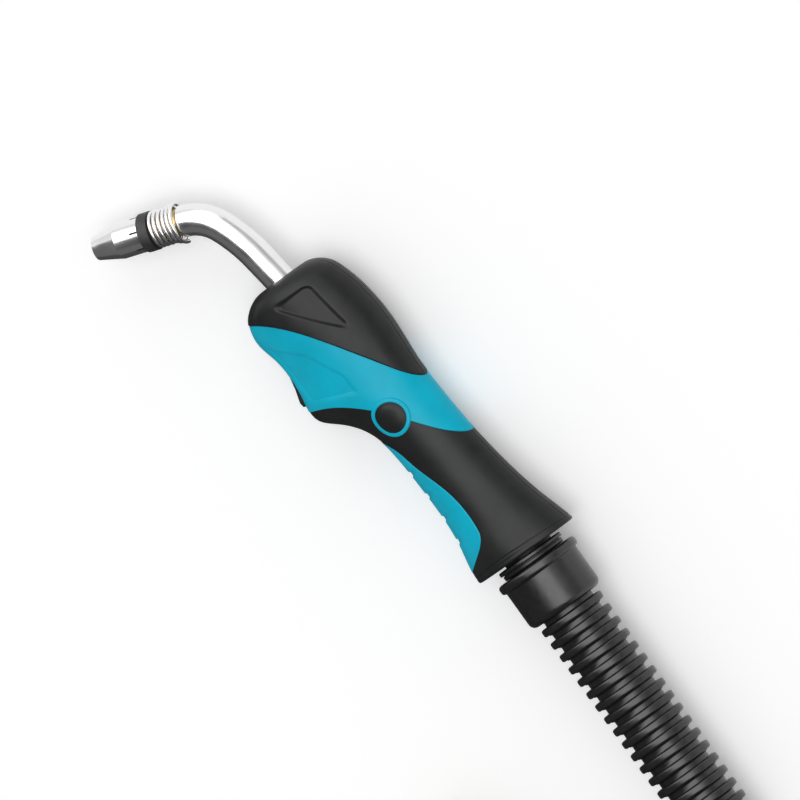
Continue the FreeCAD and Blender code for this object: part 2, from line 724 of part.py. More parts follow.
def make_trigger():
    """The trigger with its pin, return spring and microswitch."""
    wide = size("trigger_wide")
    loop = [V(pin_x + x, pin_y + y, -wide / 2) for x, y in TRIGGER_OUTLINE]
    blank = Part.Face(Part.makePolygon(loop + [loop[0]])).extrude(V(0, 0, wide))
    outer_edges = [e for e in blank.Edges if e.BoundBox.ZLength < 0.01 and e.BoundBox.YMin > pin_y + 3.7]
    blank = blank.makeFillet(1.6, outer_edges)
    return_x = size("handle_len") - size("return_back")
    pocket = Part.makeCylinder(size("return_dia") / 2 + 1.0, 9.5, V(return_x, pin_y - 7.3, 0), V(0, 1, 0))
    hole = upright_cylinder(pin_x, pin_y, size("pin_dia") / 2 + 0.05, -wide, wide)
    feature("trigger", largest(blank.cut([pocket, hole])))

    pin = cylinder("trigger_pin", "dim.pin_dia / 2", "dim.pin_len")
    keep(pin, "trigger_pin").Placement.Base = V(pin_x, pin_y, -size("pin_len") / 2)

    block = doc.addObject("Part::Box", "switch_block")
    block.setExpression("Length", "dim.switch_len")
    block.setExpression("Width", "dim.switch_deep")
    block.setExpression("Height", "dim.switch_wide")
    block.Placement.Base = V(switch_x - size("switch_len") / 2, size("switch_y") - size("switch_deep"), -size("switch_wide") / 2)
    upward = FreeCAD.Rotation(V(0, 0, 1), V(0, 1, 0))
    plunger_x = size("handle_len") - size("plunger_back")
    well = cylinder("plunger_bore", "dim.plunger_dia / 2 + dim.plunger_gap", "dim.plunger_well + 1")
    well.Placement = FreeCAD.Placement(V(plunger_x, size("switch_y") - size("plunger_well"), 0), upward)
    body = doc.addObject("Part::Cut", "switch_body")
    body.Base = block
    body.Tool = well
    keep(body, "switch_body")
    plunger = cylinder("switch_plunger", "dim.plunger_dia / 2", "dim.plunger_out + dim.plunger_hold")
    plunger_foot = V(plunger_x, size("switch_y") - size("plunger_hold"), 0)
    keep(plunger, "switch_plunger").Placement = FreeCAD.Placement(plunger_foot, upward)

    radius = size("return_dia") / 2 - size("return_wire") / 2
    turns = size("return_turns")
    rise = (size("return_len") - size("return_wire")) / turns

    def coil(turn):
        angle = 2 * math.pi * turn
        return V(radius * math.cos(angle), radius * math.sin(angle), rise * turn)

    print("return spring least gap %.2f mm" % least_gap(coil, turns, size("return_wire")))
    spring = feature("trigger_spring", tube_along(wound_wire(coil, turns), size("return_wire") / 2))
    spring.Placement = FreeCAD.Placement(V(return_x, size("switch_y") + size("return_wire") / 2, 0), upward)

    leads = []
    for side in (1, -1):
        z = side * 2.4
        y = size("switch_y") - size("switch_deep") / 2
        front = switch_x - size("switch_len") / 2
        points = [(front, y, z), (front - 12, y, z), (front - 24, y - 3, z * 1.6), (front - 38, y - 8, z * 2), (front - 52, y - 11, z * 2)]
        leads.append(tube_along(cable_wire(points)[0], 0.8))
    feature("switch_leads", Part.makeCompound(leads))

    screws = []
    for x, y in SCREW_PLACES:
        head = upright_cylinder(x, y, size("screw_head_dia") / 2, -size("screw_seat") - size("screw_head_len"), -size("screw_seat"))
        slot = box(x - 2, x + 2, y - 0.4, y + 0.4, -size("screw_seat") - size("screw_head_len") - 1, -size("screw_seat") - size("screw_head_len") + 1)
        shank = upright_cylinder(x, y, size("screw_dia") / 2, -size("screw_seat"), size("screw_len") - size("screw_seat"))
        screws.append(union([head, shank]).cut(slot))
    feature("handle_screws", Part.makeCompound(screws))


# Ball joint, collar and ribbed sleeve, turned about X with heights measured rearwards

def make_hose_end():
    """The ball with its grooved ring, the collar and the ribbed sleeve."""
    ball = doc.addObject("Part::Sphere", "ball_form")
    ball.setExpression("Radius", "dim.ball_dia / 2")
    ball.setExpression("Placement.Base.z", "-dim.ball_depth")
    band = cylinder("ball_band", "dim.ball_dia", "dim.ball_front + dim.ball_rear")
    band.setExpression("Placement.Base.z", "-dim.ball_depth - dim.ball_front")
    slice_ = doc.addObject("Part::Common", "ball_slice")
    slice_.Base = ball
    slice_.Tool = band
    ring_end = "dim.ring_gap + dim.joint_ring_len"
    ring_mid = "dim.ring_gap + dim.joint_ring_len / 2"
    stem = turned("ball_stem", [
        ("0", "-dim.ball_depth"), ("dim.stem_dia / 2", "-dim.ball_depth"), ("dim.stem_dia / 2", "dim.ring_gap"),
        ("dim.joint_ring_dia / 2", "dim.ring_gap"), ("dim.joint_ring_dia / 2", ring_mid),
        ("dim.joint_ring_dia / 2 - dim.groove_deep", ring_mid),
        ("dim.joint_ring_dia / 2 - dim.groove_deep", ring_mid + " + dim.groove_wide"),
        ("dim.joint_ring_dia / 2", ring_mid + " + dim.groove_wide"), ("dim.joint_ring_dia / 2", ring_end),
        ("dim.spigot_dia / 2", ring_end), ("dim.spigot_dia / 2", ring_end + " + dim.spigot_len"),
        ("0", ring_end + " + dim.spigot_len")])
    joined = doc.addObject("Part::Fuse", "ball_joined")
    joined.Base = slice_
    joined.Tool = stem
    bore = cylinder("ball_bore", "dim.cable_dia / 2", "dim.ball_dia + dim.spigot_len * 2")
    bore.setExpression("Placement.Base.z", "-dim.ball_dia")
    swivel = doc.addObject("Part::Cut", "swivel_ball")
    swivel.Base = joined
    swivel.Tool = bore
    keep(swivel, "swivel_ball")

    start = ring_end + " + dim.spin_gap"
    collar = turned("hose_collar", [
        ("dim.spigot_dia / 2 + dim.spin_gap", start), ("dim.rim_dia / 2 - dim.rim_round", start),
        ("dim.rim_dia / 2", start + " + dim.rim_round"),
        ("dim.rim_dia / 2", start + " + dim.rim_len - dim.rim_round"),
        ("dim.rim_dia / 2 - dim.rim_round", start + " + dim.rim_len"),
        ("dim.collar_dia / 2", start + " + dim.rim_len + 0.5"),
        ("dim.collar_dia / 2", start + " + dim.collar_len - dim.collar_round"),
        ("dim.collar_dia / 2 - dim.collar_round", start + " + dim.collar_len"),
        ("dim.spigot_dia / 2 + dim.spin_gap", start + " + dim.collar_len")])
    keep(collar, "hose_collar")

    cuff = size("ring_gap") + size("joint_ring_len") + size("spigot_len") + size("spin_gap")
    root = size("sleeve_root_dia") / 2
    rib = size("sleeve_rib_dia") / 2
    grip = size("spigot_dia") / 2 + size("spin_gap")
    collar_end = size("ring_gap") + size("joint_ring_len") + size("spin_gap") + size("collar_len")
    rings = [(grip, cuff), (grip, collar_end), (root, collar_end + 0.3)]
    for i in range(int(size("rib_count"))):
        middle = collar_end + size("rib_first") + i * size("rib_pitch")
        half = size("rib_wide") / 2
        rings += [(root, middle - half), (rib, middle - half + size("rib_slope")),
                  (rib, middle + half - size("rib_slope")), (root, middle + half)]
    rings.append((root, cuff + size("sleeve_len")))
    circles = [Part.Wire(Part.makeCircle(r, V(0, 0, at))) for r, at in rings]
    sleeve = Part.makeLoft(circles, True, True)
    hole = Part.makeCylinder(size("sleeve_bore") / 2, size("sleeve_len") + 2, V(0, 0, cuff - 1))
    feature("kink_sleeve", sleeve.cut(hole))
    rearwards = along_x(0, reverse=True)
    for label in ("swivel_ball", "hose_collar", "kink_sleeve"):
        parts[label].Placement = rearwards

    inside = cylinder("cable_core", "dim.cable_dia / 2", "%f" % (size("ball_depth") - size("cable_cut") - RUN_POINTS[0][0]))
    keep(inside, "cable_core").Placement = along_x(size("ball_depth") - size("cable_cut"), reverse=True)


# Free cable and machine plug

floor_z = -size("rim_dia") / 2
cable_z = floor_z + size("cable_dia") / 2
coil_centre = V(size("coil_x"), size("coil_y"), cable_z)
coil_outer = size("coil_mean_radius") + size("coil_step") * (size("coil_turns") / 2 - 0.25) / 2


def coil_place(turn):
    """A point on the coil: spiral in, climb in the half turn where it reverses, spiral out."""
    turns = size("coil_turns")
    step = size("coil_step")
    turn_in = turns / 2 - 0.25
    turn_out = turns / 2 + 0.25
    if turn < turn_in:
        radius, rise = coil_outer - step * turn, 0.0
    elif turn > turn_out:
        radius, rise = coil_outer - step * (turns - turn), 1.0
    else:
        part = turn - turn_in
        radius = coil_outer - step * turn_in - step * part * (1 - 2 * part)
        share = part * 2
        rise = share * share * (3 - 2 * share)
    angle = math.radians(size("coil_entry_deg") - 90) - 2 * math.pi * turn
    return coil_centre + V(radius * math.cos(angle), radius * math.sin(angle), rise * size("coil_lift"))


def make_cable():
    """Run down to the bench, the coil, and the run to the plug."""
    radius = size("cable_dia") / 2
    turns = size("coil_turns")
    loops = wound_wire(coil_place, turns, size("coil_lead"))
    meet = loops.Edges[0].valueAt(loops.Edges[0].FirstParameter)
    way_in = loops.Edges[0].tangentAt(loops.Edges[0].FirstParameter)
    wire, radii = cable_wire(RUN_POINTS + [tuple(meet - way_in * RUN_END), tuple(meet)])
    feature("cable_run", tube_along(wire, radius), cord=True)
    print("coil least gap to itself %.2f mm" % least_gap(coil_place, turns, size("cable_dia")))
    feature("cable_coil", tube_along(loops, radius), cord=True)

    leave = loops.Edges[-1].valueAt(loops.Edges[-1].LastParameter)
    way_out = loops.Edges[-1].tangentAt(loops.Edges[-1].LastParameter)
    bend = leave + way_out * TAIL_RUN
    half_way = (way_out + V(1, 0, 0)).normalize()
    aside = half_way.y / half_way.x * (size("plug_x") - TAIL_RUN - bend.x)
    plug = V(size("plug_x"), bend.y + aside, floor_z + size("plug_nut_dia") / 2)
    tail, tail_radii = cable_wire([tuple(leave), tuple(bend), (plug.x - TAIL_RUN, plug.y, plug.z), tuple(plug)])
    feature("cable_tail", tube_along(tail, radius), cord=True)
    print("cable radii", [round(r) for r in radii + tail_radii])
    for spot in (meet - way_in * RUN_END, meet, leave, bend, plug):
        print("cable point %.2f %.2f %.2f" % tuple(spot))
    inside = size("ball_depth") - size("cable_cut") - RUN_POINTS[0][0]
    print("free cable %.0f mm, all cable %.0f mm" % (wire.Length + loops.Length + tail.Length,
                                                    wire.Length + loops.Length + tail.Length + inside))
    return plug


def make_plug(plug):
    """The machine plug, turned about Z with heights measured forwards from its rear end."""
    place = along_x(plug.x, plug.y, plug.z)
    house = "dim.plug_sleeve_len"
    house_end = "dim.plug_sleeve_len + dim.plug_house_len"
    sleeve = turned("plug_sleeve", [
        ("dim.cable_dia / 2", "0"), ("dim.plug_sleeve_dia / 2", "0"),
        ("dim.plug_sleeve_end_dia / 2", house), ("dim.cable_dia / 2", house)])
    lead = cylinder("plug_lead", "dim.cable_dia / 2", "dim.plug_sleeve_len + dim.plug_house_len / 2")

    wall = "dim.plug_house_dia / 2 - dim.plug_house_wall"
    shell = turned("housing_form", [
        ("dim.cable_dia / 2", house), ("dim.plug_sleeve_end_dia / 2", house),
        ("dim.plug_house_dia / 2", house + " + 12"), ("dim.plug_house_dia / 2", house_end),
        (wall, house_end), (wall, house + " + 15"), ("dim.cable_dia / 2", house + " + 8")])
    doc.recompute()
    screw_spots = [(house_at, 11.5) for house_at in (size("plug_sleeve_len") + 22, size("plug_sleeve_len") + 44)]
    form = shell.Shape.copy()
    posts = []
    screws = []
    for along, across in screw_spots:
        posts.append(Part.makeCylinder(3.0, 60, V(-30, across, along), V(1, 0, 0)))
        head = Part.makeCylinder(2.6, 2.0, V(11.0, across, along), V(1, 0, 0))
        shank = Part.makeCylinder(1.4, 18, V(-7, across, along), V(1, 0, 0))
        screws.append(union([head, shank]))
    solid_form = Part.makeCylinder(size("plug_house_dia") / 2 - 0.5, 40, V(0, 0, size("plug_sleeve_len") + 13))
    form = union([form] + [post.common(solid_form) for post in posts])
    holes = [Part.makeCylinder(3.0, 20, V(11.0, across, along), V(1, 0, 0)) for along, across in screw_spots]
    form = form.cut(holes + screws)
    high = box(0, 60, -60, 60, -10, 300)
    deep = box(-60, 0, -60, 60, -10, 300)
    top = feature("plug_housing_top", largest(form.common(high)), cord=True)
    base = feature("plug_housing_base", largest(form.common(deep)), cord=True)
    screw_group = feature("plug_screws", Part.makeCompound(screws), cord=True)

    nut_start = house_end + " + dim.plug_nut_gap"
    nut = turned("nut_blank", [
        ("dim.plug_nut_bore / 2", nut_start), ("dim.plug_nut_dia / 2", nut_start),
        ("dim.plug_nut_dia / 2", nut_start + " + dim.plug_nut_len"),
        ("dim.plug_nut_bore / 2", nut_start + " + dim.plug_nut_len")])
    doc.recompute()
    scallops = []
    for i in range(12):
        angle = 2 * math.pi * (i + 0.5) / 12
        reach = size("plug_nut_dia") / 2 + 2.2
        scallops.append(Part.makeCylinder(3.6, 200, V(reach * math.cos(angle), reach * math.sin(angle), 0)))
    grip = Part.makeCylinder(100, size("plug_nut_len") - 4, V(0, 0, sheet.evalExpression(nut_start) + 2))
    ring = feature("plug_nut", nut.Shape.cut([cut.common(grip) for cut in scallops]), cord=True)

    flange = house_end + " - 12"
    nose = nut_start + " + dim.plug_nut_len - 8"
    shoulder = nose + " + dim.plug_shoulder_len"
    body = turned("plug_body", [
        ("dim.plug_shoulder_dia / 2", flange), ("dim.plug_flange_dia / 2", flange),
        ("dim.plug_flange_dia / 2", nose), ("dim.plug_shoulder_dia / 2", nose)])
    collet_end = flange + " + dim.plug_collet_len"
    spigot = turned("plug_spigot", [
        ("dim.plug_collet_dia / 2", flange), ("dim.plug_shoulder_dia / 2", flange), ("dim.plug_shoulder_dia / 2", shoulder),
        ("dim.plug_nose_dia / 2", shoulder), ("dim.plug_nose_dia / 2", nose + " + dim.plug_nose_len"),
        ("dim.plug_bore / 2", nose + " + dim.plug_nose_len"), ("dim.plug_bore / 2", collet_end),
        ("dim.plug_collet_dia / 2", collet_end)])
    nose_at = sheet.evalExpression(nose)
    pins = []
    for side in (1, -1):
        pins.append(Part.makeCylinder(size("plug_pin_dia") / 2, size("plug_pin_len"),
                                      V(0, side * size("plug_pin_place"), nose_at)))
    pin_group = feature("plug_pins", Part.makeCompound(pins), cord=True)
    seals = [Part.makeTorus(size("plug_shoulder_dia") / 2 + size("seal_wire") / 2, size("seal_wire") / 2,
                            V(0, 0, nose_at + size("plug_shoulder_len") - size("seal_back") - i * size("seal_pitch")))
             for i in range(2)]
    seal_group = feature("plug_seals", Part.makeCompound(seals), cord=True)
    for obj, label in ((sleeve, "plug_sleeve"), (lead, "plug_lead"), (body, "plug_body"), (spigot, "plug_spigot")):
        keep(obj, label, cord=True)
    screws_up = FreeCAD.Placement(V(), FreeCAD.Rotation(V(0, 0, 1), 180))
    for obj in (top, base, screw_group, ring, pin_group, seal_group, sleeve, lead, body, spigot):
        obj.Placement = place.multiply(screws_up)


make_neck()
make_nozzle_end()
make_trigger()
make_hose_end()
make_plug(make_cable())
doc.recompute()

for item in doc.Objects:
    if "Invalid" in item.State or "Error" in item.State:
        raise ValueError("%s did not build" % item.Label)
for label, part in parts.items():
    if part.Shape.isNull() or not part.Shape.isValid():
        raise ValueError("%s has no valid shape" % label)

# The origin is on the bench, under the middle of the torch without its free cable


def span(labels):
    """The exact bounds of some sub-parts together."""
    low, high = [1e9] * 3, [-1e9] * 3
    for label in labels:
        bounds = parts[label].Shape.optimalBoundingBox(False, False)
        for axis, (near, far) in enumerate(((bounds.XMin, bounds.XMax), (bounds.YMin, bounds.YMax), (bounds.ZMin, bounds.ZMax))):
            low[axis] = min(low[axis], near)
            high[axis] = max(high[axis], far)
    return low, high


low, high = span(torch_nodes)
shift = V(-(low[0] + high[0]) / 2, -(low[1] + high[1]) / 2, -low[2])
print("torch %.1f x %.1f x %.1f mm, shift %.2f %.2f %.2f" % (
    high[0] - low[0], high[1] - low[1], high[2] - low[2], shift.x, shift.y, shift.z))
for part in parts.values():
    part.Placement = FreeCAD.Placement(shift, FreeCAD.Rotation()).multiply(part.Placement)
doc.recompute()

os.makedirs("parts", exist_ok=True)
for label, part in parts.items():
    part.Shape.exportStep("parts/%s.step" % label)
print(len(parts), "parts")
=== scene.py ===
"""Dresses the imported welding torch: skins, finishes, cable, stage, light and camera."""
import json
import math
import bmesh
import bpy
import numpy as np
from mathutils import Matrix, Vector


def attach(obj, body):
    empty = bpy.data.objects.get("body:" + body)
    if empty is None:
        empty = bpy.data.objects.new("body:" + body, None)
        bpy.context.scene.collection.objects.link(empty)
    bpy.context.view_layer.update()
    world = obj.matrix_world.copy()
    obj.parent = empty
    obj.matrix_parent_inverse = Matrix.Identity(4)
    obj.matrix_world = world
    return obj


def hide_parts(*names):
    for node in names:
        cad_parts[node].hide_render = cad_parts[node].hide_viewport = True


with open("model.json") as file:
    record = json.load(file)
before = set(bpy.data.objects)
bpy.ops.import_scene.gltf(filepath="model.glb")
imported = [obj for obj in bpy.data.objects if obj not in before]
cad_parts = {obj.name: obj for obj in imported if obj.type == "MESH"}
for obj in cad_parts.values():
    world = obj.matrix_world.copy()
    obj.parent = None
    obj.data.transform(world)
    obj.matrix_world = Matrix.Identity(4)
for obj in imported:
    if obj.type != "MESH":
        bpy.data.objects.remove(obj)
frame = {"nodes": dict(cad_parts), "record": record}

bl_info = {
    "name": "Welding torch dresser",
    "version": (1, 0, 0),
    "blender": (4, 5, 0),
    "location": "3D view > Sidebar > Torch",
    "description": "Dresses a gas shielded welding torch with its skins and finishes",
    "category": "Object",
}

MM = 0.001
# the torch's own zero, at the ball joint's mouth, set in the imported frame
TORCH_ZERO = Vector((-0.03801, -0.03761, 0.0253))


def place(x, y, z=0.0):
    """A point of the torch, given in millimetres from its own zero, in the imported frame."""
    return TORCH_ZERO + Vector((x, y, z)) * MM


# finishes


def new_material(name, colour, rough, metallic=0.0, shine=0.5):
    """A named material with its plain values on the shader."""
    material = bpy.data.materials.new(name)
    material.use_nodes = True
    shader = material.node_tree.nodes["Principled BSDF"]
    shader.inputs["Base Color"].default_value = (*colour, 1.0)
    shader.inputs["Roughness"].default_value = rough
    shader.inputs["Metallic"].default_value = metallic
    shader.inputs["Specular IOR Level"].default_value = shine
    material.diffuse_color = (*colour, 1.0)
    return material


def noise_field(material, scale, detail=4.0):
    """A noise over the piece, its scale in cells a metre."""
    nodes = material.node_tree.nodes
    links = material.node_tree.links
    where = nodes.new("ShaderNodeTexCoord")
    noise = nodes.new("ShaderNodeTexNoise")
    noise.inputs["Scale"].default_value = scale
    noise.inputs["Detail"].default_value = detail
    links.new(where.outputs["Object"], noise.inputs["Vector"])
    return noise.outputs["Fac"]


def vary(material, field, socket, low, high, start=0.35, stop=0.65):
    """Lets a field move one number of the shader between two values."""
    nodes = material.node_tree.nodes
    links = material.node_tree.links
    spread = nodes.new("ShaderNodeMapRange")
    spread.inputs["From Min"].default_value = start
    spread.inputs["From Max"].default_value = stop
    spread.inputs["To Min"].default_value = low
    spread.inputs["To Max"].default_value = high
    links.new(field, spread.inputs["Value"])
    links.new(spread.outputs["Result"], nodes["Principled BSDF"].inputs[socket])


def tint(material, field, low, high, start=0.35, stop=0.65):
    """Lets a field move the colour between two tones."""
    nodes = material.node_tree.nodes
    links = material.node_tree.links
    ramp = nodes.new("ShaderNodeValToRGB")
    ramp.color_ramp.elements[0].position = start
    ramp.color_ramp.elements[0].color = (*low, 1.0)
    ramp.color_ramp.elements[1].position = stop
    ramp.color_ramp.elements[1].color = (*high, 1.0)
    links.new(field, ramp.inputs["Fac"])
    links.new(ramp.outputs["Color"], nodes["Principled BSDF"].inputs["Base Color"])


def grain(material, field, depth, strength=1.0):
    """A fine relief, its depth in metres."""
    nodes = material.node_tree.nodes
    links = material.node_tree.links
    bump = nodes.new("ShaderNodeBump")
    bump.inputs["Distance"].default_value = depth
    bump.inputs["Strength"].default_value = strength
    links.new(field, bump.inputs["Height"])
    links.new(bump.outputs["Normal"], nodes["Principled BSDF"].inputs["Normal"])


def darker(colour, share):
    """The same tone with less light in it."""
    return tuple(part * share for part in colour)


def make_finish(colour, name, rough, wear, relief, tone=None, metallic=0.0, shine=0.5):
    """One finish: its tone, its wear in roughness and its relief each follow a noise of their own."""
    material = new_material(name, colour, rough, metallic, shine)
    if tone:
        scale, low, high = tone
        tint(material, noise_field(material, scale), darker(colour, low), darker(colour, high))
    scale, detail, low, high = wear
    vary(material, noise_field(material, scale, detail), "Roughness", low, high)
    scale, detail, depth, strength = relief
    grain(material, noise_field(material, scale, detail), depth, strength)
    return material


# for each slot: its colour setting, then its name, roughness, wear, relief and tone
# wear is a noise's scale, detail and two roughnesses, relief its scale, detail, depth and strength
# tone is a noise's scale and two shares of the colour
FINISHES = {
    "black_plastic": ("black_plastic", dict(name="moulded_black_plastic", rough=0.36,
                      wear=(140, 4, 0.32, 0.4), relief=(2600, 2, 0.00003, 0.35), tone=(60, 0.85, 1.15), shine=0.2)),
    "teal_plastic": ("teal", dict(name="soft_teal_cover", rough=0.4, wear=(120, 4, 0.34, 0.42),
                     relief=(2200, 2, 0.00003, 0.3), tone=(45, 0.94, 1.05), shine=0.1)),
    "black_rubber": ("black_rubber", dict(name="black_rubber", rough=0.28, wear=(200, 4, 0.27, 0.35),
                     relief=(1800, 2, 0.00003, 0.3), tone=(80, 0.85, 1.2), shine=0.62)),
    "cable_rubber": ("cable_rubber", dict(name="cable_rubber", rough=0.5, wear=(300, 4, 0.44, 0.56),
                     relief=(1500, 3, 0.00005, 0.4), tone=(90, 0.8, 1.3), shine=0.35)),
    "bright_metal": ("bright_metal", dict(name="bright_plate", rough=0.2, wear=(90, 6, 0.16, 0.24),
                     relief=(900, 3, 0.00001, 0.2), metallic=1.0)),
    "brass": ("brass", dict(name="turned_brass", rough=0.28, wear=(150, 4, 0.22, 0.34),
              relief=(1400, 2, 0.00002, 0.3), tone=(70, 0.85, 1.0), metallic=1.0)),
    "copper": ("copper", dict(name="worked_copper", rough=0.32, wear=(160, 4, 0.26, 0.42),
               relief=(1400, 2, 0.00002, 0.3), tone=(80, 0.75, 1.0), metallic=1.0)),
    "steel": ("steel", dict(name="drawn_steel", rough=0.3, wear=(200, 4, 0.24, 0.36),
              relief=(1600, 2, 0.00002, 0.3), metallic=1.0)),
    "insulator": ("insulator", dict(name="matt_insulator", rough=0.6, wear=(220, 4, 0.52, 0.66),
                  relief=(1600, 3, 0.00006, 0.5), tone=(120, 0.7, 1.2))),
    "white_plastic": ("white_plastic", dict(name="white_insulation", rough=0.5, wear=(180, 4, 0.44, 0.58),
                      relief=(1200, 3, 0.00005, 0.4), tone=(90, 0.85, 1.0))),
}


def finish_for(slot):
    """The finish of one slot of the record, made once."""
    colour_name, values = FINISHES[slot]
    if slot not in finish_for.made:
        colours = bpy.context.scene.torch_colours
        finish_for.made[slot] = make_finish(tuple(getattr(colours, colour_name)), **values)
    return finish_for.made[slot]


finish_for.made = {}


def slot_of(node):
    """The record's material slot of a node."""
    for part in frame["record"]["subparts"]:
        if part["node"] == node:
            return part["material_slot"]
    raise ValueError("no slot for " + node)


def dress(piece, slot):
    """Gives a piece the finish of a slot."""
    piece.data.materials.clear()
    piece.data.materials.append(finish_for(slot))


# the handle's form


HANDLE_LEN = 200.0
REAR_FACE = -1.2
FRONT_ROUND = 11.0
REAR_ROUND = 2.7
OVAL_FULLNESS = 0.8
WALL = 3.0
CAVITY_SPAN = (25.0, 192.0)
# distance forward of the rear face, back, palm and half width
STATIONS = np.array((
    (-1.2, -33.6, 34.3, 25.3), (10.0, -30.2, 33.0, 24.3), (22.0, -26.4, 30.6, 22.4),
    (38.0, -22.4, 29.0, 20.4), (60.0, -18.4, 29.3, 19.0), (85.0, -15.2, 31.0, 18.9),
    (100.0, -14.0, 34.6, 19.7), (109.0, -13.4, 40.2, 20.5), (116.0, -13.0, 47.4, 21.3),
    (122.0, -13.0, 54.6, 22.1), (128.0, -13.4, 57.4, 22.8), (140.0, -14.2, 55.9, 24.0),
    (152.0, -14.4, 54.7, 24.9), (165.0, -13.2, 55.8, 25.3), (178.0, -10.6, 58.8, 25.0),
    (190.0, -6.2, 56.2, 24.0), (200.0, -1.6, 50.6, 22.6)))
# edges of the covers and the recess, seen from the side
COVER_HEAD_EDGE = ((102, -21), (112.4, -12.1), (128.8, -2.6), (147.6, 8.3),
                   (168.8, 23.9), (188, 51), (190, 64))
COVER_GRIP_EDGE = ((66, -23), (74.1, -13.9), (81.9, -6.9), (95.3, 3.4), (111.7, 17.9),
                   (124.3, 34.5), (132, 64))
INSERT_EDGE = ((4, 38), (18, 10.2), (27.1, 6.9), (40.4, 7.6), (56.2, 11.9),
               (74.3, 19.7), (91.6, 28.5), (99, 38))
RECESS_CORNERS = ((189.5, 31.0), (189.5, 4.5), (151.8, -2.6))
RECESS_ROUND = 4.6
RECESS_DEEP = 1.7
RECESS_SLOPE = 1.8
SCOOP_CORNERS = ((175.2, 51.7), (158.2, 27.9), (136.8, 16.6), (125.3, 16.7), (123.7, 19.0), (133.2, 48.1))
SCOOP_DEEP = 1.95
SCOOP_SLOPE = 5.0
EMBLEM_CENTRE = (102.5, 11.3)
EMBLEM_DIA = 18.0
EMBLEM_RING_DIA = 22.6
GRIP_NOTCHES = (25.6, 40.4, 55.8, 70.7)
NOTCH_HALF = 2.3
NOTCH_DEEP = 1.7
SCREW_PLACES = ((178, 2), (140, -5), (118, 38), (62, -10), (32, -13))
# levels of the outer faces against the drawn form, and the small lines
HEAD_LEVEL = 0.0
COVER_LEVEL = -0.45
GRIP_LEVEL = -0.7
UNDER_COVER = -1.5
RIDGE_HALF = 2.2
LINE_DEEP = 0.5
LINE_HALF = 0.2
SEAM_DEEP = 0.12
RIM_LINE = 2.1
RIM_BOW = 2.1
FAR_OFF = 9.0
WELL_RADIUS = 3.3
WELL_END = -8.0
WELL_START = -40
SPINE_ROWS = (0.0, 0.1, 0.3, 0.8, 1.4, 1.85, 2.03, 2.2, 2.37, 2.55, 2.95, 3.5)
PALM_ROWS = (9.4, 8.6, 7.2, 5.6, 4.0, 2.4, 1.2, 0.5, 0.15, 0.0)
SIDE_ROWS = 84


def spline_through(places, values, at):
    """A smooth curve through the values, read at other places."""
    x = np.asarray(places, float)
    y = np.asarray(values, float)
    count = len(x)
    step = np.diff(x)
    slope = np.diff(y) / step
    matrix = np.eye(count)
    right = np.zeros(count)
    for i in range(1, count - 1):
        matrix[i, i - 1:i + 2] = (step[i - 1], 2 * (step[i - 1] + step[i]), step[i])
        right[i] = 6 * (slope[i] - slope[i - 1])
    bend = np.linalg.solve(matrix, right)
    at = np.clip(at, x[0], x[-1])
    k = np.clip(np.searchsorted(x, at) - 1, 0, count - 2)
    t = at - x[k]
    start = slope[k] - step[k] * (2 * bend[k] + bend[k + 1]) / 6
    return y[k] + t * start + t ** 2 * bend[k] / 2 + t ** 3 * (bend[k + 1] - bend[k]) / (6 * step[k])


def oval_shape(x, inset):
    """Middle, half length, half width, the two radii and the angle where they join."""
    back = spline_through(STATIONS[:, 0], STATIONS[:, 1], x)
    palm = spline_through(STATIONS[:, 0], STATIONS[:, 2], x)
    wide = spline_through(STATIONS[:, 0], STATIONS[:, 3], x)
    a = (palm - back) / 2 - inset
    b = wide - inset
    small = wide * OVAL_FULLNESS - inset
    large = ((a - small) ** 2 + b * b - small * small) / (2 * (b - small))
    lean = np.arccos(np.clip((a - small) / (large - small), -1, 1))
    return (back + palm) / 2, a, b, small, large, lean


def half_girth(x, inset):
    """Length round one side of the oval, from the spine to the palm."""
    _, _, _, small, large, lean = oval_shape(x, inset)
    return 2 * small * lean + large * (math.pi - 2 * lean)


def on_oval(x, inset, along):
    """A point of the left side, by the length from the spine, and the way it faces."""
    middle, a, b, small, large, lean = oval_shape(x, inset)
    end = small * lean
    total = 2 * end + large * (math.pi - 2 * lean)
    near = along < end
    far = along > total - end
    turn = np.where(near, along / small, (total - along) / small)
    side = (along - end) / large - (math.pi / 2 - lean)
    face_y = np.where(near, -np.cos(turn), np.where(far, np.cos(turn), np.sin(side)))
    face_z = np.where(near | far, np.sin(turn), np.cos(side))
    y = np.where(near, small - a, np.where(far, a - small, 0.0)) + np.where(near | far, small, large) * face_y
    z = np.where(near | far, small * face_z, large * face_z - (large - b))
    return middle + y, z, face_y, face_z


def side_height(x, y):
    """Height of the left side's drawn form over a point seen from the side."""
    middle, a, b, small, large, lean = oval_shape(x, 0.0)
    off = np.abs(y - middle)
    join = (a - small) + small * np.cos(lean)
    flat = np.sqrt(np.maximum(large ** 2 - off ** 2, 0)) - (large - b)
    end = np.sqrt(np.maximum(small ** 2 - (off - (a - small)) ** 2, 0))
    return np.where(off < join, flat, end)


def row_lengths(x, inset, side_rows=SIDE_ROWS):
    """The rows' lengths from the spine, one column of rows for each x."""
    total = half_girth(x, inset)
    first = np.array(SPINE_ROWS)
    last = np.array(PALM_ROWS)
    share = np.linspace(0, 1, side_rows + 2)[1:-1]
    rows = [np.full_like(total, value) for value in first]
    rows += [first[-1] + part * (total - first[-1] - last[0]) for part in share]
    rows += [total - value for value in last]
    return np.array(rows)


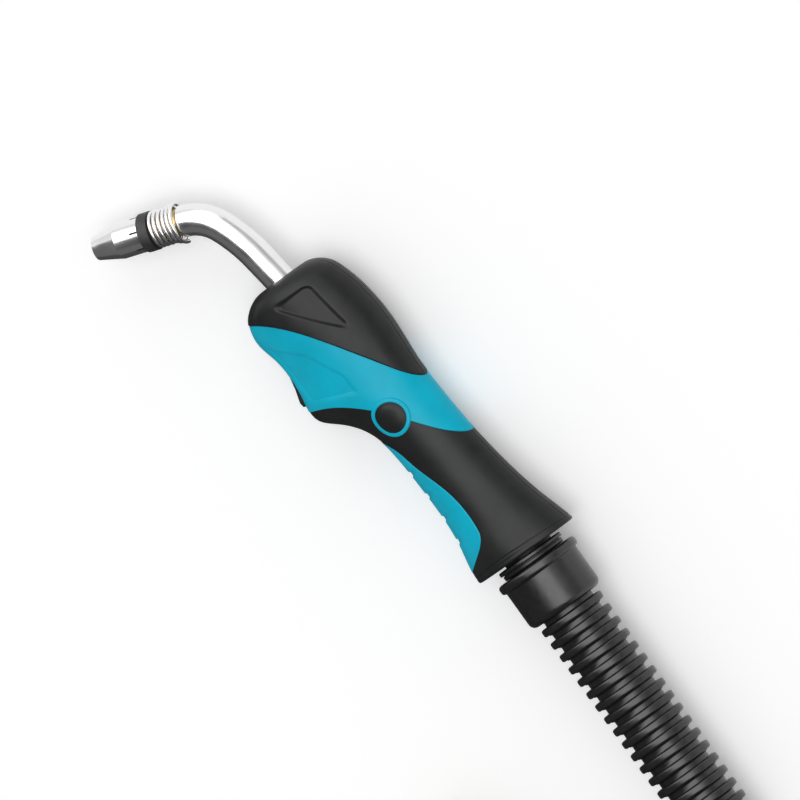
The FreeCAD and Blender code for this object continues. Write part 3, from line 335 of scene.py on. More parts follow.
def crossing(edge, side_rows=SIDE_ROWS):
    """Where each row crosses an edge that is drawn seen from the side."""
    edge = np.array(edge, float)
    count = len(SPINE_ROWS) + side_rows + len(PALM_ROWS)
    low = np.full(count, 55.0)
    high = np.full(count, 193.0)
    index = np.arange(count)
    for _ in range(30):
        x = (low + high) / 2
        along = row_lengths(x, 0.0, side_rows)[index, index]
        y = on_oval(x, 0.0, along)[0]
        past = x > spline_through(edge[:, 1], edge[:, 0], y)
        high = np.where(past, x, high)
        low = np.where(past, low, x)
    return (low + high) / 2


def inside_depth(x, y, corners, radius):
    """How far a point is inside a rounded outline, negative outside."""
    loop = np.array(corners, float)
    total = len(loop)
    area = 0.0
    for i in range(total):
        area += loop[i][0] * loop[(i + 1) % total][1] - loop[(i + 1) % total][0] * loop[i][1]
    if area < 0:
        loop = loop[::-1]
    outs = []
    for i in range(total):
        start = loop[i]
        way = loop[(i + 1) % total] - start
        way = way / np.hypot(*way)
        outs.append((x - start[0]) * way[1] - (y - start[1]) * way[0])
    outs = np.array(outs) + radius
    outside = np.sqrt((np.maximum(outs, 0) ** 2).sum(axis=0))
    deepest = outs.max(axis=0)
    return radius - np.where(deepest > 0, outside, deepest)


def ease(value, start, stop):
    """From nought to one, softly, between two values."""
    t = np.clip((value - start) / (stop - start), 0, 1)
    return t * t * (3 - 2 * t)


def rounded_edge(distance, radius):
    """Drop of a rounded edge by the distance from it."""
    t = np.clip(radius - distance, 0, radius)
    return radius - np.sqrt(np.maximum(radius ** 2 - t ** 2, 0))


def line_cut(distance):
    """Depth of a fine moulded line by the distance from its middle."""
    return LINE_DEEP * np.exp(-(distance / LINE_HALF) ** 2)


def in_space(x, inset, turn, along, rise):
    """Points of the left side in millimetres, moved out by rise along the way they face."""
    y, z, face_y, face_z = on_oval(x, inset, along)
    level = np.cos(turn)
    return np.stack((x + rise * np.sin(turn), y + rise * level * face_y, z + rise * level * face_z), axis=-1)


def grid_faces(rows, columns, offset=0):
    """Quads of a grid numbered row by row."""
    faces = []
    for r in range(rows - 1):
        for c in range(columns - 1):
            i = offset + r * columns + c
            faces.append((i, i + 1, i + columns + 1, i + columns))
    return faces


def piece_from(name, points, faces, mirror=False):
    """A smooth shaded mesh piece from millimetre points of the torch."""
    spots = np.array(points, float).reshape(-1, 3)
    if mirror:
        spots[:, 2] *= -1
        faces = [face[::-1] for face in faces]
    mesh = bpy.data.meshes.new(name)
    mesh.from_pydata([tuple(place(*spot)) for spot in spots], [], faces)
    mesh.validate()
    shape = bmesh.new()
    shape.from_mesh(mesh)
    bmesh.ops.remove_doubles(shape, verts=shape.verts, dist=0.000002)
    bmesh.ops.recalc_face_normals(shape, faces=shape.faces)
    shape.to_mesh(mesh)
    shape.free()
    mesh.shade_smooth()
    piece = bpy.data.objects.new(name, mesh)
    bpy.context.collection.objects.link(piece)
    return piece


def closed_sheet(name, top, bottom, mirror=False):
    """A thin closed piece between two grids of points."""
    rows, columns = top.shape[:2]
    count = rows * columns
    faces = grid_faces(rows, columns)
    faces += [face[::-1] for face in grid_faces(rows, columns, count)]
    rim = [(0, c) for c in range(columns)]
    rim += [(r, columns - 1) for r in range(1, rows)]
    rim += [(rows - 1, c) for c in range(columns - 2, -1, -1)]
    rim += [(r, 0) for r in range(rows - 2, 0, -1)]
    ids = [r * columns + c for r, c in rim]
    for here, after in zip(ids, ids[1:] + ids[:1]):
        faces.append((here, here + count, after + count, after))
    return piece_from(name, np.concatenate((top.reshape(-1, 3), bottom.reshape(-1, 3))), faces, mirror)


def cut_with(piece, cutter, operation="DIFFERENCE"):
    """Cuts or joins a piece with another, which is then removed."""
    change = piece.modifiers.new("cut", "BOOLEAN")
    change.operation = operation
    change.object = cutter
    change.solver = "MANIFOLD"
    context = bpy.context
    context.view_layer.update()
    shape = bpy.data.meshes.new_from_object(piece.evaluated_get(context.evaluated_depsgraph_get()))
    piece.modifiers.clear()
    old = piece.data
    shape.name = old.name
    piece.data = shape
    bpy.data.meshes.remove(old)
    bpy.data.objects.remove(cutter)


def spread(start, stop, count, first=(), last=()):
    """Column places between two rows of places, fine at both ends."""
    first = np.array(first, float)
    last = np.array(last, float)
    room = stop - start
    scale = np.minimum(1.0, room / (2.0 * (first[-1] + last[0] + 0.01)))
    middle = np.linspace(0, 1, count + 2)[1:-1]
    places = [start + value * scale for value in first]
    inner = room - (first[-1] + last[0]) * scale
    places += [start + first[-1] * scale + part * inner for part in middle]
    places += [stop - value * scale for value in last]
    return places


def shell_columns():
    """The handle half as columns: x, inset, turn of the face, and distances from the cover's edges."""
    grip_edge = crossing(COVER_GRIP_EDGE)
    head_edge = crossing(COVER_HEAD_EDGE)
    rows = len(grip_edge)
    share = np.linspace(0, 1, rows)
    rim_line = RIM_LINE + RIM_BOW * np.sin(math.pi * share)
    far = np.full(rows, FAR_OFF)
    columns = []

    def add(x, inset, turn, zone, off):
        columns.append((x, np.broadcast_to(inset, rows), np.broadcast_to(turn, rows), zone, off))

    for part in (0.05, 0.35, 0.65, 0.9):
        inset = REAR_ROUND + (1 - part) * 16.0
        add(np.full(rows, REAR_FACE), inset, -math.pi / 2, "grip", far)
    for turn in np.linspace(-math.pi / 2, 0, 6):
        x = REAR_FACE + REAR_ROUND * (1 + math.sin(turn))
        add(np.full(rows, x), REAR_ROUND * (1 - math.cos(turn)), turn, "grip", far)
    start = np.full(rows, REAR_FACE + REAR_ROUND)
    before = rim_line - start
    for part in (0.3, 0.6):
        add(start + part * (before - 0.3), 0.0, 0.0, "grip", far)
    for off in (-0.36, -0.18, 0.0, 0.18, 0.36):
        add(rim_line + off, 0.0, 0.0, "grip", far)
    for x in spread(rim_line + 0.7, grip_edge, 150, (0.0, 0.4), (1.4, 0.8, 0.45, 0.25, 0.12, 0.0)):
        add(x, 0.0, 0.0, "grip", grip_edge - x)
    for x in spread(grip_edge, head_edge, 14, (0.03, 0.3), (0.3, 0.03)):
        add(x, 0.0, 0.0, "under", x - grip_edge)
    long_end = HANDLE_LEN - FRONT_ROUND + FRONT_ROUND * math.pi / 2
    first = (0.0, 0.05, 0.16, 0.32, 0.52, 0.76, 1.1, 1.5)
    for q in spread(head_edge, np.full(rows, long_end), 175, first, (0.6, 0.0)):
        turn = np.clip((q - (HANDLE_LEN - FRONT_ROUND)) / FRONT_ROUND, 0, math.pi / 2)
        x = np.where(turn > 0, HANDLE_LEN - FRONT_ROUND + FRONT_ROUND * np.sin(turn), q)
        add(x, FRONT_ROUND * (1 - np.cos(turn)), turn, "head", q - head_edge)
    return columns


def shell_rise(x, y, along, zone, off, turn):
    """How far the shell's face stands from the drawn form."""
    ridge = line_cut(along - RIDGE_HALF)
    seam = SEAM_DEEP * (along < 0.05)
    if zone == "under":
        return np.full_like(x, UNDER_COVER)
    if zone == "grip":
        line = line_cut(x - rim_line_at(along, x))
        behind = x < rim_line_at(along, x)
        bevel = 0.5 * np.clip(rim_line_at(along, x) - x, 0, 3) / 3 * (turn == 0)
        ridge = ridge * ~behind
        line = line * (along > RIDGE_HALF) * (turn == 0)
        under_insert = ease(insert_inside(x, y), 0.5, 0.9)
        rise = GRIP_LEVEL - np.maximum(ridge, line) - bevel - rounded_edge(off, 0.35) - 1.0 * under_insert
        return rise - seam
    tray = size_mm("recess_depth") * ease(inside_depth(x, y, RECESS_CORNERS, RECESS_ROUND), 0.0, RECESS_SLOPE)
    fade = 1 - ease(x, 193.0, 199.0)
    return HEAD_LEVEL - rounded_edge(off, 1.1) - tray - ridge * fade * ease(off, 0.5, 1.5) - seam


def rim_line_at(along, x):
    """Place of the moulded line that runs round the rear rim."""
    share = np.clip(along / half_girth(np.full_like(x, 3.0), 0.0), 0, 1)
    return RIM_LINE + RIM_BOW * np.sin(math.pi * share)


def insert_inside(x, y):
    """How far a point is inside the palm insert's outline, roughly."""
    edge = np.array(INSERT_EDGE, float)
    line = spline_through(edge[:, 0], edge[:, 1], x)
    slope = (spline_through(edge[:, 0], edge[:, 1], x + 0.1) - line) / 0.1
    inside = (y - line) / np.sqrt(1 + slope ** 2)
    return np.where((x > edge[0][0]) & (x < edge[-1][0]), inside, -1.0)


def half_shell(name, mirror):
    """One hollow handle half with its recess, ridge line and rims."""
    columns = shell_columns()
    points = []
    for x, inset, turn, zone, off in columns:
        index = np.arange(len(x))
        along = row_lengths(x, inset)[index, index]
        y = on_oval(x, 0.0 * x, np.minimum(along, half_girth(x, 0.0 * x)))[0]
        rise = shell_rise(x, y, along, zone, off, turn)
        points.append(in_space(x, inset, turn, along, rise))
    grid = np.array(points).transpose(1, 0, 2)
    rows, count = grid.shape[:2]
    faces = grid_faces(rows, count)
    last_row = (rows - 1) * count
    for c in range(count - 1):
        faces.append((c + 1, c, last_row + c, last_row + c + 1))
    faces.append(tuple(r * count for r in range(rows)))
    faces.append(tuple(r * count + count - 1 for r in range(rows - 1, -1, -1)))
    shell = piece_from(name, grid, faces, mirror)
    cut_with(shell, cavity_form())
    for cutter in handle_cutters(mirror):
        cut_with(shell, cutter)
    return shell


def full_loop_form(name, places, inset, rows=36):
    """A closed form round the whole oval, drawn in by inset, with flat ends."""
    rings = []
    for x in places:
        at = np.full(rows, float(x))
        total = half_girth(at, inset)
        along = np.linspace(0, 1, rows) * total
        left = in_space(at, inset, 0.0 * at, along, 0.0)
        right = left[-2:0:-1].copy()
        right[:, 2] *= -1
        rings.append(np.concatenate((left, right)))
    return loft_piece(name, rings)


def loft_piece(name, rings):
    """A closed piece through rings of as many points each."""
    size = len(rings[0])
    faces = []
    for i in range(len(rings) - 1):
        for k in range(size):
            nxt = (k + 1) % size
            faces.append((i * size + k, i * size + nxt, (i + 1) * size + nxt, (i + 1) * size + k))
    faces.append(tuple(range(size)))
    faces.append(tuple(range((len(rings) - 1) * size + size - 1, (len(rings) - 1) * size - 1, -1)))
    return piece_from(name, np.concatenate(rings), faces)


def cavity_form():
    """The hollow inside both halves."""
    return full_loop_form("cavity", np.linspace(CAVITY_SPAN[0], CAVITY_SPAN[1], 40), WALL)


def turned_faces(profile, segments):
    """Quads between the copies of a closed profile, left out where it runs along the axis."""
    size = len(profile)
    faces = []
    for k in range(segments):
        after = (k + 1) % segments
        for i in range(size):
            nxt = (i + 1) % size
            if profile[i][0] < 1e-6 and profile[nxt][0] < 1e-6:
                continue
            faces.append((k * size + i, k * size + nxt, after * size + nxt, after * size + i))
    return faces


def turned_form(name, profile, centre, way, segments=96):
    """A closed piece turned round a line from radius and height pairs."""
    way = Vector(way).normalized()
    side = way.orthogonal().normalized()
    other = way.cross(side)
    rings = []
    for k in range(segments):
        angle = 2 * math.pi * k / segments
        out = side * math.cos(angle) + other * math.sin(angle)
        rings.append([Vector(centre) + way * high + out * wide for wide, high in profile])
    points = [tuple(spot) for ring in rings for spot in ring]
    return piece_from(name, points, turned_faces(profile, segments))


def rod(name, start, end, radius, segments=48):
    """A plain rod between two points, used as a cutter."""
    way = Vector(end) - Vector(start)
    profile = ((0.0, 0.0), (radius, 0.0), (radius, way.length), (0.0, way.length))
    return turned_form(name, profile, start, way, segments)


def block(name, low, high):
    """A plain block between two corners, used as a cutter."""
    corners = [(x, y, z) for x in (low[0], high[0]) for y in (low[1], high[1]) for z in (low[2], high[2])]
    faces = [(0, 1, 3, 2), (4, 6, 7, 5), (0, 4, 5, 1), (2, 3, 7, 6), (0, 2, 6, 4), (1, 5, 7, 3)]
    return piece_from(name, corners, faces)


NECK_ROOT = Vector((150.0, 18.3, 0.0))
NECK_WAY = Vector((math.cos(math.radians(9.0)), math.sin(math.radians(9.0)), 0.0))
SLOT = ((133.0, 42.0, -8.2), (187.0, 75.3, 8.2))
BALL_CENTRE = (14.0, 0.0, 0.0)
BALL_SEAT = 21.0
MOUTH_RADIUS = 23.2


def ball_profile(radius, steps=32):
    """Half a circle as radius and height pairs."""
    turns = [math.pi * i / steps for i in range(steps + 1)]
    return [(radius * math.sin(turn), -radius * math.cos(turn)) for turn in turns]


def handle_cutters(right):
    """What is cut out of a handle half."""
    cutters = [
        rod("mouth", (-9, 0, 0), (3.6, 0, 0), MOUTH_RADIUS, 128),
        turned_form("seat", ball_profile(BALL_SEAT), BALL_CENTRE, (1, 0, 0), 96),
        rod("neck_hole", NECK_ROOT, NECK_ROOT + NECK_WAY * 120, 9.1, 96),
        block("slot", *SLOT),
    ]
    if right:
        for spot in SCREW_PLACES:
            cutters.append(rod("well", (*spot, WELL_START), (*spot, WELL_END), WELL_RADIUS, 32))
    return cutters


def cover_points(rise_of, under):
    """Top and underside of a cover between its two edges."""
    grip_edge = crossing(COVER_GRIP_EDGE)
    head_edge = crossing(COVER_HEAD_EDGE)
    top = []
    bottom = []
    fine = (0.0, 0.06, 0.16, 0.3, 0.45, 0.65, 1.0)
    for x in spread(grip_edge, head_edge, 120, fine, fine[::-1]):
        index = np.arange(len(x))
        along = row_lengths(x, 0.0 * x)[index, index]
        y = on_oval(x, 0.0 * x, along)[0]
        rise = rise_of(x, y, along, x - grip_edge, head_edge - x)
        top.append(in_space(x, 0.0 * x, 0.0 * x, along, rise))
        bottom.append(in_space(x, 0.0 * x, 0.0 * x, along, under))
    return np.array(top).transpose(1, 0, 2), np.array(bottom).transpose(1, 0, 2)


def cover_rise(x, y, along, from_grip, from_head):
    """How far the teal cover's face stands from the drawn form."""
    scoop = size_mm("scoop_depth") * ease(inside_depth(x, y, SCOOP_CORNERS, 2.0), 0.0, SCOOP_SLOPE)
    edges = rounded_edge(from_grip, 0.6) + rounded_edge(from_head, 0.25)
    seam = SEAM_DEEP * (along < 0.05)
    return COVER_LEVEL - scoop - edges - seam


def half_cover(name, mirror):
    """One soft cover over a side and half the spine."""
    top, bottom = cover_points(cover_rise, UNDER_COVER + 0.05)
    cover = closed_sheet(name, top, bottom, mirror)
    cut_with(cover, block("slot", *SLOT))
    if mirror:
        for spot in SCREW_PLACES:
            cut_with(cover, rod("well", (*spot, WELL_START), (*spot, WELL_END), WELL_RADIUS, 32))
    return cover


def palm_piece(name):
    """The teal palm insert over both halves, with its notches."""
    edge = np.array(INSERT_EDGE, float)
    columns = []
    for x in np.linspace(edge[0][0], edge[-1][0], 2000):
        at = np.array([x])
        palm = spline_through(STATIONS[:, 0], STATIONS[:, 2], at)[0]
        if spline_through(edge[:, 0], edge[:, 1], at)[0] < palm - 0.02:
            columns.append(x)
    first, last = columns[0], columns[-1]
    places = np.concatenate(((0.0, 0.002, 0.008), np.linspace(0.02, 0.98, 170), (0.992, 0.998, 1.0)))
    shares = np.concatenate(((0.0, 0.01, 0.03, 0.06), np.linspace(0.1, 1.0, 34)))
    top = []
    bottom = []
    for x in first + places * (last - first):
        at = np.full(len(shares), x)
        total = half_girth(at, 0.0)
        lengths = np.linspace(0, 1, 400)[:, None] * total[:1]
        ys = on_oval(np.full((400, 1), x), 0.0, lengths)[0][:, 0]
        line = spline_through(edge[:, 0], edge[:, 1], np.array([x]))[0]
        start = np.interp(line, ys, lengths[:, 0])
        along = start + shares * (total - start)
        rise = insert_rise(at, along, total, (along - start), min(x - first, last - x))
        left = in_space(at, 0.0, 0.0 * at, along, rise)
        low = in_space(at, 0.0, 0.0 * at, along, -1.3)
        for side, store in ((left, top), (low, bottom)):
            right = side[-2::-1].copy()
            right[:, 2] *= -1
            store.append(np.concatenate((side, right)))
    return closed_sheet(name, np.array(top), np.array(bottom))


def insert_rise(x, along, total, from_edge, from_end):
    """How far the insert's face stands from the drawn form, with notches fading to the sides."""
    rise = np.full_like(x, COVER_LEVEL) - rounded_edge(from_edge, 0.6) - rounded_edge(from_end, 0.6)
    across = total - along
    depth = size_mm("notch_depth") * (1 - ease(across, 7.0, 19.0) * 0.86)
    for spot in GRIP_NOTCHES:
        off = np.clip(np.abs(x - spot) / NOTCH_HALF, 0, 1)
        rise = rise - depth * np.cos(off * math.pi / 2) ** 2 * ease(from_edge, 0.5, 6.0)
    return rise


def emblem_piece(name, profile, mirror):
    """A round piece on the side of the handle from radius and rise pairs."""
    segments = 96
    points = []
    for k in range(segments):
        angle = 2 * math.pi * k / segments
        for wide, rise in profile:
            x = EMBLEM_CENTRE[0] + wide * math.cos(angle)
            y = EMBLEM_CENTRE[1] + wide * math.sin(angle)
            points.append((x, y, float(side_height(np.array([x]), np.array([y]))[0]) + rise))
    return piece_from(name, points, turned_faces(profile, segments), mirror)


def ring_profile():
    """The teal ring round the emblem."""
    inner = EMBLEM_DIA / 2
    outer = EMBLEM_RING_DIA / 2
    return ((inner, -1.2), (inner, 0.0), (inner + 0.15, 0.22), (inner + 0.5, 0.33), (outer - 0.7, 0.3),
            (outer - 0.3, 0.18), (outer - 0.05, -0.1), (outer, -0.45), (outer, -1.2))


def disc_profile():
    """The bare black disc inside the ring."""
    edge = EMBLEM_DIA / 2 - 0.12
    return ((0.0, 0.1), (edge * 0.5, 0.07), (edge - 1.4, -0.02), (edge - 1.15, -0.16), (edge - 0.9, -0.05),
            (edge - 0.25, -0.1), (edge, -0.3), (edge, -1.2), (0.0, -1.2))


def build_handle():
    """Both shells, both covers, the palm insert and the emblems."""
    for side, mirror in (("left", False), ("right", True)):
        shell = half_shell(side + "_handle_skin", mirror)
        dress(shell, "black_plastic")
        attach(shell, "handle")
        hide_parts(side + "_shell")
        cover = half_cover(side + "_cover_skin", mirror)
        dress(cover, "teal_plastic")
        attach(cover, "handle")
        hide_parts(side + "_band")
        ring = emblem_piece(side + "_emblem_ring", ring_profile(), mirror)
        dress(ring, "teal_plastic")
        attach(ring, "handle")
        disc = emblem_piece(side + "_emblem_disc", disc_profile(), mirror)
        dress(disc, "black_plastic")
        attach(disc, "handle")
        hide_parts(side + "_emblem")
    palm = palm_piece("palm_insert_skin")
    dress(palm, "teal_plastic")
    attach(palm, "handle")
    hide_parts("palm_insert")


# the hose end


RING_REAR = -7.7
RING_RADIUS = 19.4
RING_BORE = 15.0
RING_FRONT = -2.1
COLLAR_FRONT = -8.0
RIM_RADIUS = 25.3
RIM_LEN = 5.6
COLLAR_RADIUS = 23.15
COLLAR_LEN = 30.2
COLLAR_BORE = 16.2
SLEEVE_END = -204.0
SLEEVE_BORE = 9.7
ROOT_RADIUS = 15.85
RIB_RADIUS = 19.9
RIB_PITCH = 8.39
RIB_WIDE = 4.35
RIB_FIRST = 3.0
RIB_COUNT = 19
CUFF_LEN = 12.0
RIB_ROUND = 1.2


def arc(wide, high, radius, start, stop, steps=6):
    """Points of an arc as radius and height pairs, in degrees from outwards towards forwards."""
    points = []
    for i in range(steps + 1):
        turn = math.radians(start + (stop - start) * i / steps)
        points.append((wide + radius * math.cos(turn), high + radius * math.sin(turn)))
    return points


def sleeve_profile():
    """The ribbed sleeve from its cuff rearwards, with rounded ribs and small steps at their roots."""
    rounding = size_mm("rib_round")
    collar_end = COLLAR_FRONT - COLLAR_LEN
    cuff = collar_end + CUFF_LEN
    points = [(SLEEVE_BORE, cuff), (ROOT_RADIUS, cuff), (ROOT_RADIUS, collar_end - 2.0)]
    at = collar_end - RIB_FIRST
    for _ in range(RIB_COUNT):
        rear = at - RIB_WIDE
        points += arc(ROOT_RADIUS + 0.6, at + 0.6, 0.6, 180, 270, 4)
        points += arc(RIB_RADIUS - rounding, at - rounding, rounding, 90, 0, 6)
        points += arc(RIB_RADIUS - rounding, rear + rounding, rounding, 0, -90, 6)
        points += [(ROOT_RADIUS + 1.5, rear), (ROOT_RADIUS + 1.3, rear - 0.15)]
        points.append((ROOT_RADIUS + 1.2, rear - 0.55))
        points += arc(ROOT_RADIUS + 0.5, rear - 1.2, 0.5, 90, 180, 4)
        at -= RIB_PITCH
    points += [(ROOT_RADIUS, SLEEVE_END + 0.8), (ROOT_RADIUS - 0.8, SLEEVE_END), (SLEEVE_BORE, SLEEVE_END)]
    return points


def collar_profile():
    """The collar with its rolled rim and rounded rear edge."""
    rear = COLLAR_FRONT - COLLAR_LEN
    points = [(COLLAR_BORE, COLLAR_FRONT - 1.0), (RIM_RADIUS - 3.4, COLLAR_FRONT - 0.6)]
    points.append((RIM_RADIUS - 2.6, COLLAR_FRONT))
    points += arc(RIM_RADIUS - 2.0, COLLAR_FRONT - 2.0, 2.0, 90, 0, 8)
    points += arc(RIM_RADIUS - 1.6, COLLAR_FRONT - RIM_LEN + 1.9, 1.6, 0, -90, 6)
    points += arc(COLLAR_RADIUS + 0.5, COLLAR_FRONT - RIM_LEN - 0.45, 0.5, 130, 180, 4)
    points += arc(COLLAR_RADIUS - 4.0, rear + 4.0, 4.0, 0, -80, 12)
    points += [(ROOT_RADIUS + 2.9, rear), (ROOT_RADIUS + 2.5, rear + 0.8), (COLLAR_BORE, rear + 1.2)]
    return points


def joint_ring_profile():
    """The grooved ring between the handle and the collar."""
    points = [(RING_BORE, RING_REAR + 0.1), (RING_RADIUS - 0.4, RING_REAR + 0.1)]
    points.append((RING_RADIUS, RING_REAR + 0.5))
    points += arc(RING_RADIUS - 0.6, -5.9, 0.6, 0, 90, 3)
    points += [(RING_RADIUS - 1.1, -5.3), (RING_RADIUS - 1.1, -4.6)]
    points += [(RING_RADIUS + 0.5, -4.5)] + arc(RING_RADIUS + 0.5, -3.9, 0.6, -60, 0, 3)
    points += arc(RING_RADIUS + 0.3, -2.9, 0.8, 0, 90, 4)
    points += [(RING_RADIUS - 1.6, RING_FRONT), (RING_BORE, RING_FRONT)]
    return points


def build_hose_end():
    """The grooved ring, the collar and the ribbed sleeve."""
    axis = (1, 0, 0)
    zero = (0, 0, 0)
    ring = turned_form("joint_ring", joint_ring_profile(), zero, axis, 128)
    dress(ring, "black_rubber")
    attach(ring, "swivel")
    collar = turned_form("rolled_collar", collar_profile(), zero, axis, 160)
    dress(collar, "black_rubber")
    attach(collar, "sleeve")
    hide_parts("hose_collar")
    sleeve = turned_form("ribbed_sleeve", sleeve_profile(), zero, axis, 160)
    dress(sleeve, "black_rubber")
    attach(sleeve, "sleeve")
    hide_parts("kink_sleeve")


# the free cable


CABLE_DIA = 17.0
COIL_CENTRE = (-370.2, 63.4, -16.8)
COIL_OUTER = 103.7
COIL_TURNS = 4.65
COIL_STEP = 18.0
COIL_LIFT = 17.6
COIL_INWARD = 2.075
COIL_ENTRY = math.radians(-63.0)
COIL_POINTS = 24
RUN_ROUTE = ((-204, 0, 0), (-228, 0, 0), (-251.5, -2.5, -4.3), (-273.5, -7.6, -12.5), (-295.5, -15.8, -16.8),
             (-315.9, -25.5, -16.8))
TAIL_ROUTE = ((-315.9, 152.3, 0.8), (-296.0, 142.9, 0.8), (-275.0, 138.2, -3.3), (-253.0, 138.2, -3.3))


def coil_point(turn):
    """The coil's middle line: in on the bench, up for half a turn, then out on top."""
    climb_end = COIL_INWARD + 0.5
    if turn < COIL_INWARD:
        inward = turn
        lift = 0.0
    elif turn < climb_end:
        share = turn - COIL_INWARD
        inward = COIL_INWARD + share * (1.0 - 2.0 * share)
        lift = COIL_LIFT * (3.0 * (2.0 * share) ** 2 - 2.0 * (2.0 * share) ** 3)
    else:
        inward = COIL_TURNS - turn
        lift = COIL_LIFT
    radius = COIL_OUTER - COIL_STEP * inward
    angle = COIL_ENTRY - 2 * math.pi * turn
    return (COIL_CENTRE[0] + radius * math.cos(angle),
            COIL_CENTRE[1] + radius * math.sin(angle),
            COIL_CENTRE[2] + lift)


def cable_route():
    """All the control points of the free cable."""
    coil = []
    for step in range(1, int(COIL_TURNS * COIL_POINTS)):
        coil.append(coil_point(step / COIL_POINTS))
    return list(RUN_ROUTE) + coil + list(TAIL_ROUTE)


def build_cable():
    """The free cable as one smooth line from the sleeve to the plug."""
    diameter = size_mm("cable_diameter")
    line = bpy.data.curves.new("power_cable", "CURVE")
    line.dimensions = "3D"
    line.bevel_depth = diameter / 2 * MM
    line.bevel_resolution = 6
    line.resolution_u = 4
    line.use_fill_caps = True
    spline = line.splines.new("NURBS")
    route = cable_route()
    spline.points.add(len(route) - 1)
    for point, spot in zip(spline.points, route):
        point.co = (*place(*spot), 1.0)
    spline.order_u = 3
    spline.use_endpoint_u = True
    cable = bpy.data.objects.new("power_cable", line)
    bpy.context.collection.objects.link(cable)
    dress(cable, "cable_rubber")
    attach(cable, "swivel")
    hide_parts("cable_run", "cable_coil", "cable_tail")
    return cable


# stage, light and camera


FLOOR_SIDE = 60.0
FLOOR_GLOW = 0.2
VIEW_CENTRE = Vector((0.0695, -0.0280, 0.0253))
VIEW_ALONG = Vector((0.0, 0.4305, -0.9026))
VIEW_UP = Vector((0.813, -0.5253, -0.2505))
VIEW_WIDTH = 0.44
LENS = 600.0
SENSOR = 36.0


def build_floor(colour):
    """The bench top: a wide pale plane that keeps the torch's shadow."""
    half = FLOOR_SIDE / 2
    corners = [(-half, -half, 0), (half, -half, 0), (half, half, 0), (-half, half, 0)]
    mesh = bpy.data.meshes.new("floor")
    mesh.from_pydata(corners, [], [(0, 1, 2, 3)])
    floor = bpy.data.objects.new("floor", mesh)
    bpy.context.collection.objects.link(floor)
    material = new_material("pale_floor", colour, 0.9, shine=0.0)
    mesh.materials.append(material)
    brighten_for_view(material, FLOOR_GLOW)


def seen_directly(material_nodes, links):
    """One for camera, glossy and transmission rays, else nought."""
    path = material_nodes.new("ShaderNodeLightPath")
    first = material_nodes.new("ShaderNodeMath")
    first.operation = "MAXIMUM"
    second = material_nodes.new("ShaderNodeMath")
    second.operation = "MAXIMUM"
    links.new(path.outputs["Is Camera Ray"], first.inputs[0])
    links.new(path.outputs["Is Glossy Ray"], first.inputs[1])
    links.new(first.outputs["Value"], second.inputs[0])
    links.new(path.outputs["Is Transmission Ray"], second.inputs[1])
    return second.outputs["Value"]


def brighten_for_view(material, level):
    """Lifts the floor to white where it is looked at, and leaves its shadow and bounce alone."""
    nodes = material.node_tree.nodes
    links = material.node_tree.links
    scale = nodes.new("ShaderNodeMath")
    scale.operation = "MULTIPLY"
    scale.inputs[1].default_value = level
    glow = nodes.new("ShaderNodeEmission")
    both = nodes.new("ShaderNodeAddShader")
    links.new(seen_directly(nodes, links), scale.inputs[0])
    links.new(scale.outputs["Value"], glow.inputs["Strength"])
    links.new(nodes["Principled BSDF"].outputs["BSDF"], both.inputs[0])
    links.new(glow.outputs["Emission"], both.inputs[1])
    links.new(both.outputs["Shader"], nodes["Material Output"].inputs["Surface"])


# cards seen only by glossy rays, each a painted reflection: the dark ones paint dark reflections from the floor
# beside the torch, the left, the palm side, the roof and the back
CARD_HIGH = 3.4
DARK_REFLECTION_FLOOR_EDGE = ((-3.2, -0.03), (0.13, -0.03), (0.19, -0.005), (0.2192, 0.0162), (0.2352, 0.0686),
                   (1.1, 3.2), (-3.2, 3.2))
DARK_REFLECTION_FLOOR = tuple((x, y, 0.0004) for x, y in DARK_REFLECTION_FLOOR_EDGE)
DARK_REFLECTION_LEFT = ((-3.2, -2.1, 0.0), (-3.2, 3.2, 0.0), (-3.2, 3.2, CARD_HIGH), (-3.2, -2.1, CARD_HIGH))
DARK_REFLECTION_PALM = ((-3.2, 3.2, 0.0), (3.2, 3.2, 0.0), (3.2, 3.2, CARD_HIGH), (-3.2, 3.2, CARD_HIGH))
DARK_REFLECTION_ROOF = ((-3.2, -2.1, CARD_HIGH), (-3.2, 3.2, CARD_HIGH), (3.2, 3.2, CARD_HIGH))
DARK_REFLECTION_BACK = ((-3.2, -3.4, 0.0), (3.2, -3.4, 0.0), (3.2, -3.4, 1.7), (-3.2, -3.4, 1.7))
# each dark card's name, corners and glow; the glow sets how dark its painted reflection is
PAINTED_DARK_REFLECTION_CARDS = (("painted_dark_reflection_floor_card", DARK_REFLECTION_FLOOR, 0.06), ("painted_dark_reflection_left_card", DARK_REFLECTION_LEFT, 0.13),
              ("painted_dark_reflection_palm_card", DARK_REFLECTION_PALM, 0.13), ("painted_dark_reflection_roof_card", DARK_REFLECTION_ROOF, 0.07),
              ("painted_dark_reflection_back_card", DARK_REFLECTION_BACK, 0.45))
# outline of the bright card over the spine side, a painted highlight that only reflections see
PAINTED_HIGHLIGHT_ROOF = ((-3.2, -2.2, CARD_HIGH), (3.2, 3.1, CARD_HIGH), (8.0, 3.1, CARD_HIGH), (8.0, -3.2, CARD_HIGH),
             (-3.2, -3.2, CARD_HIGH))


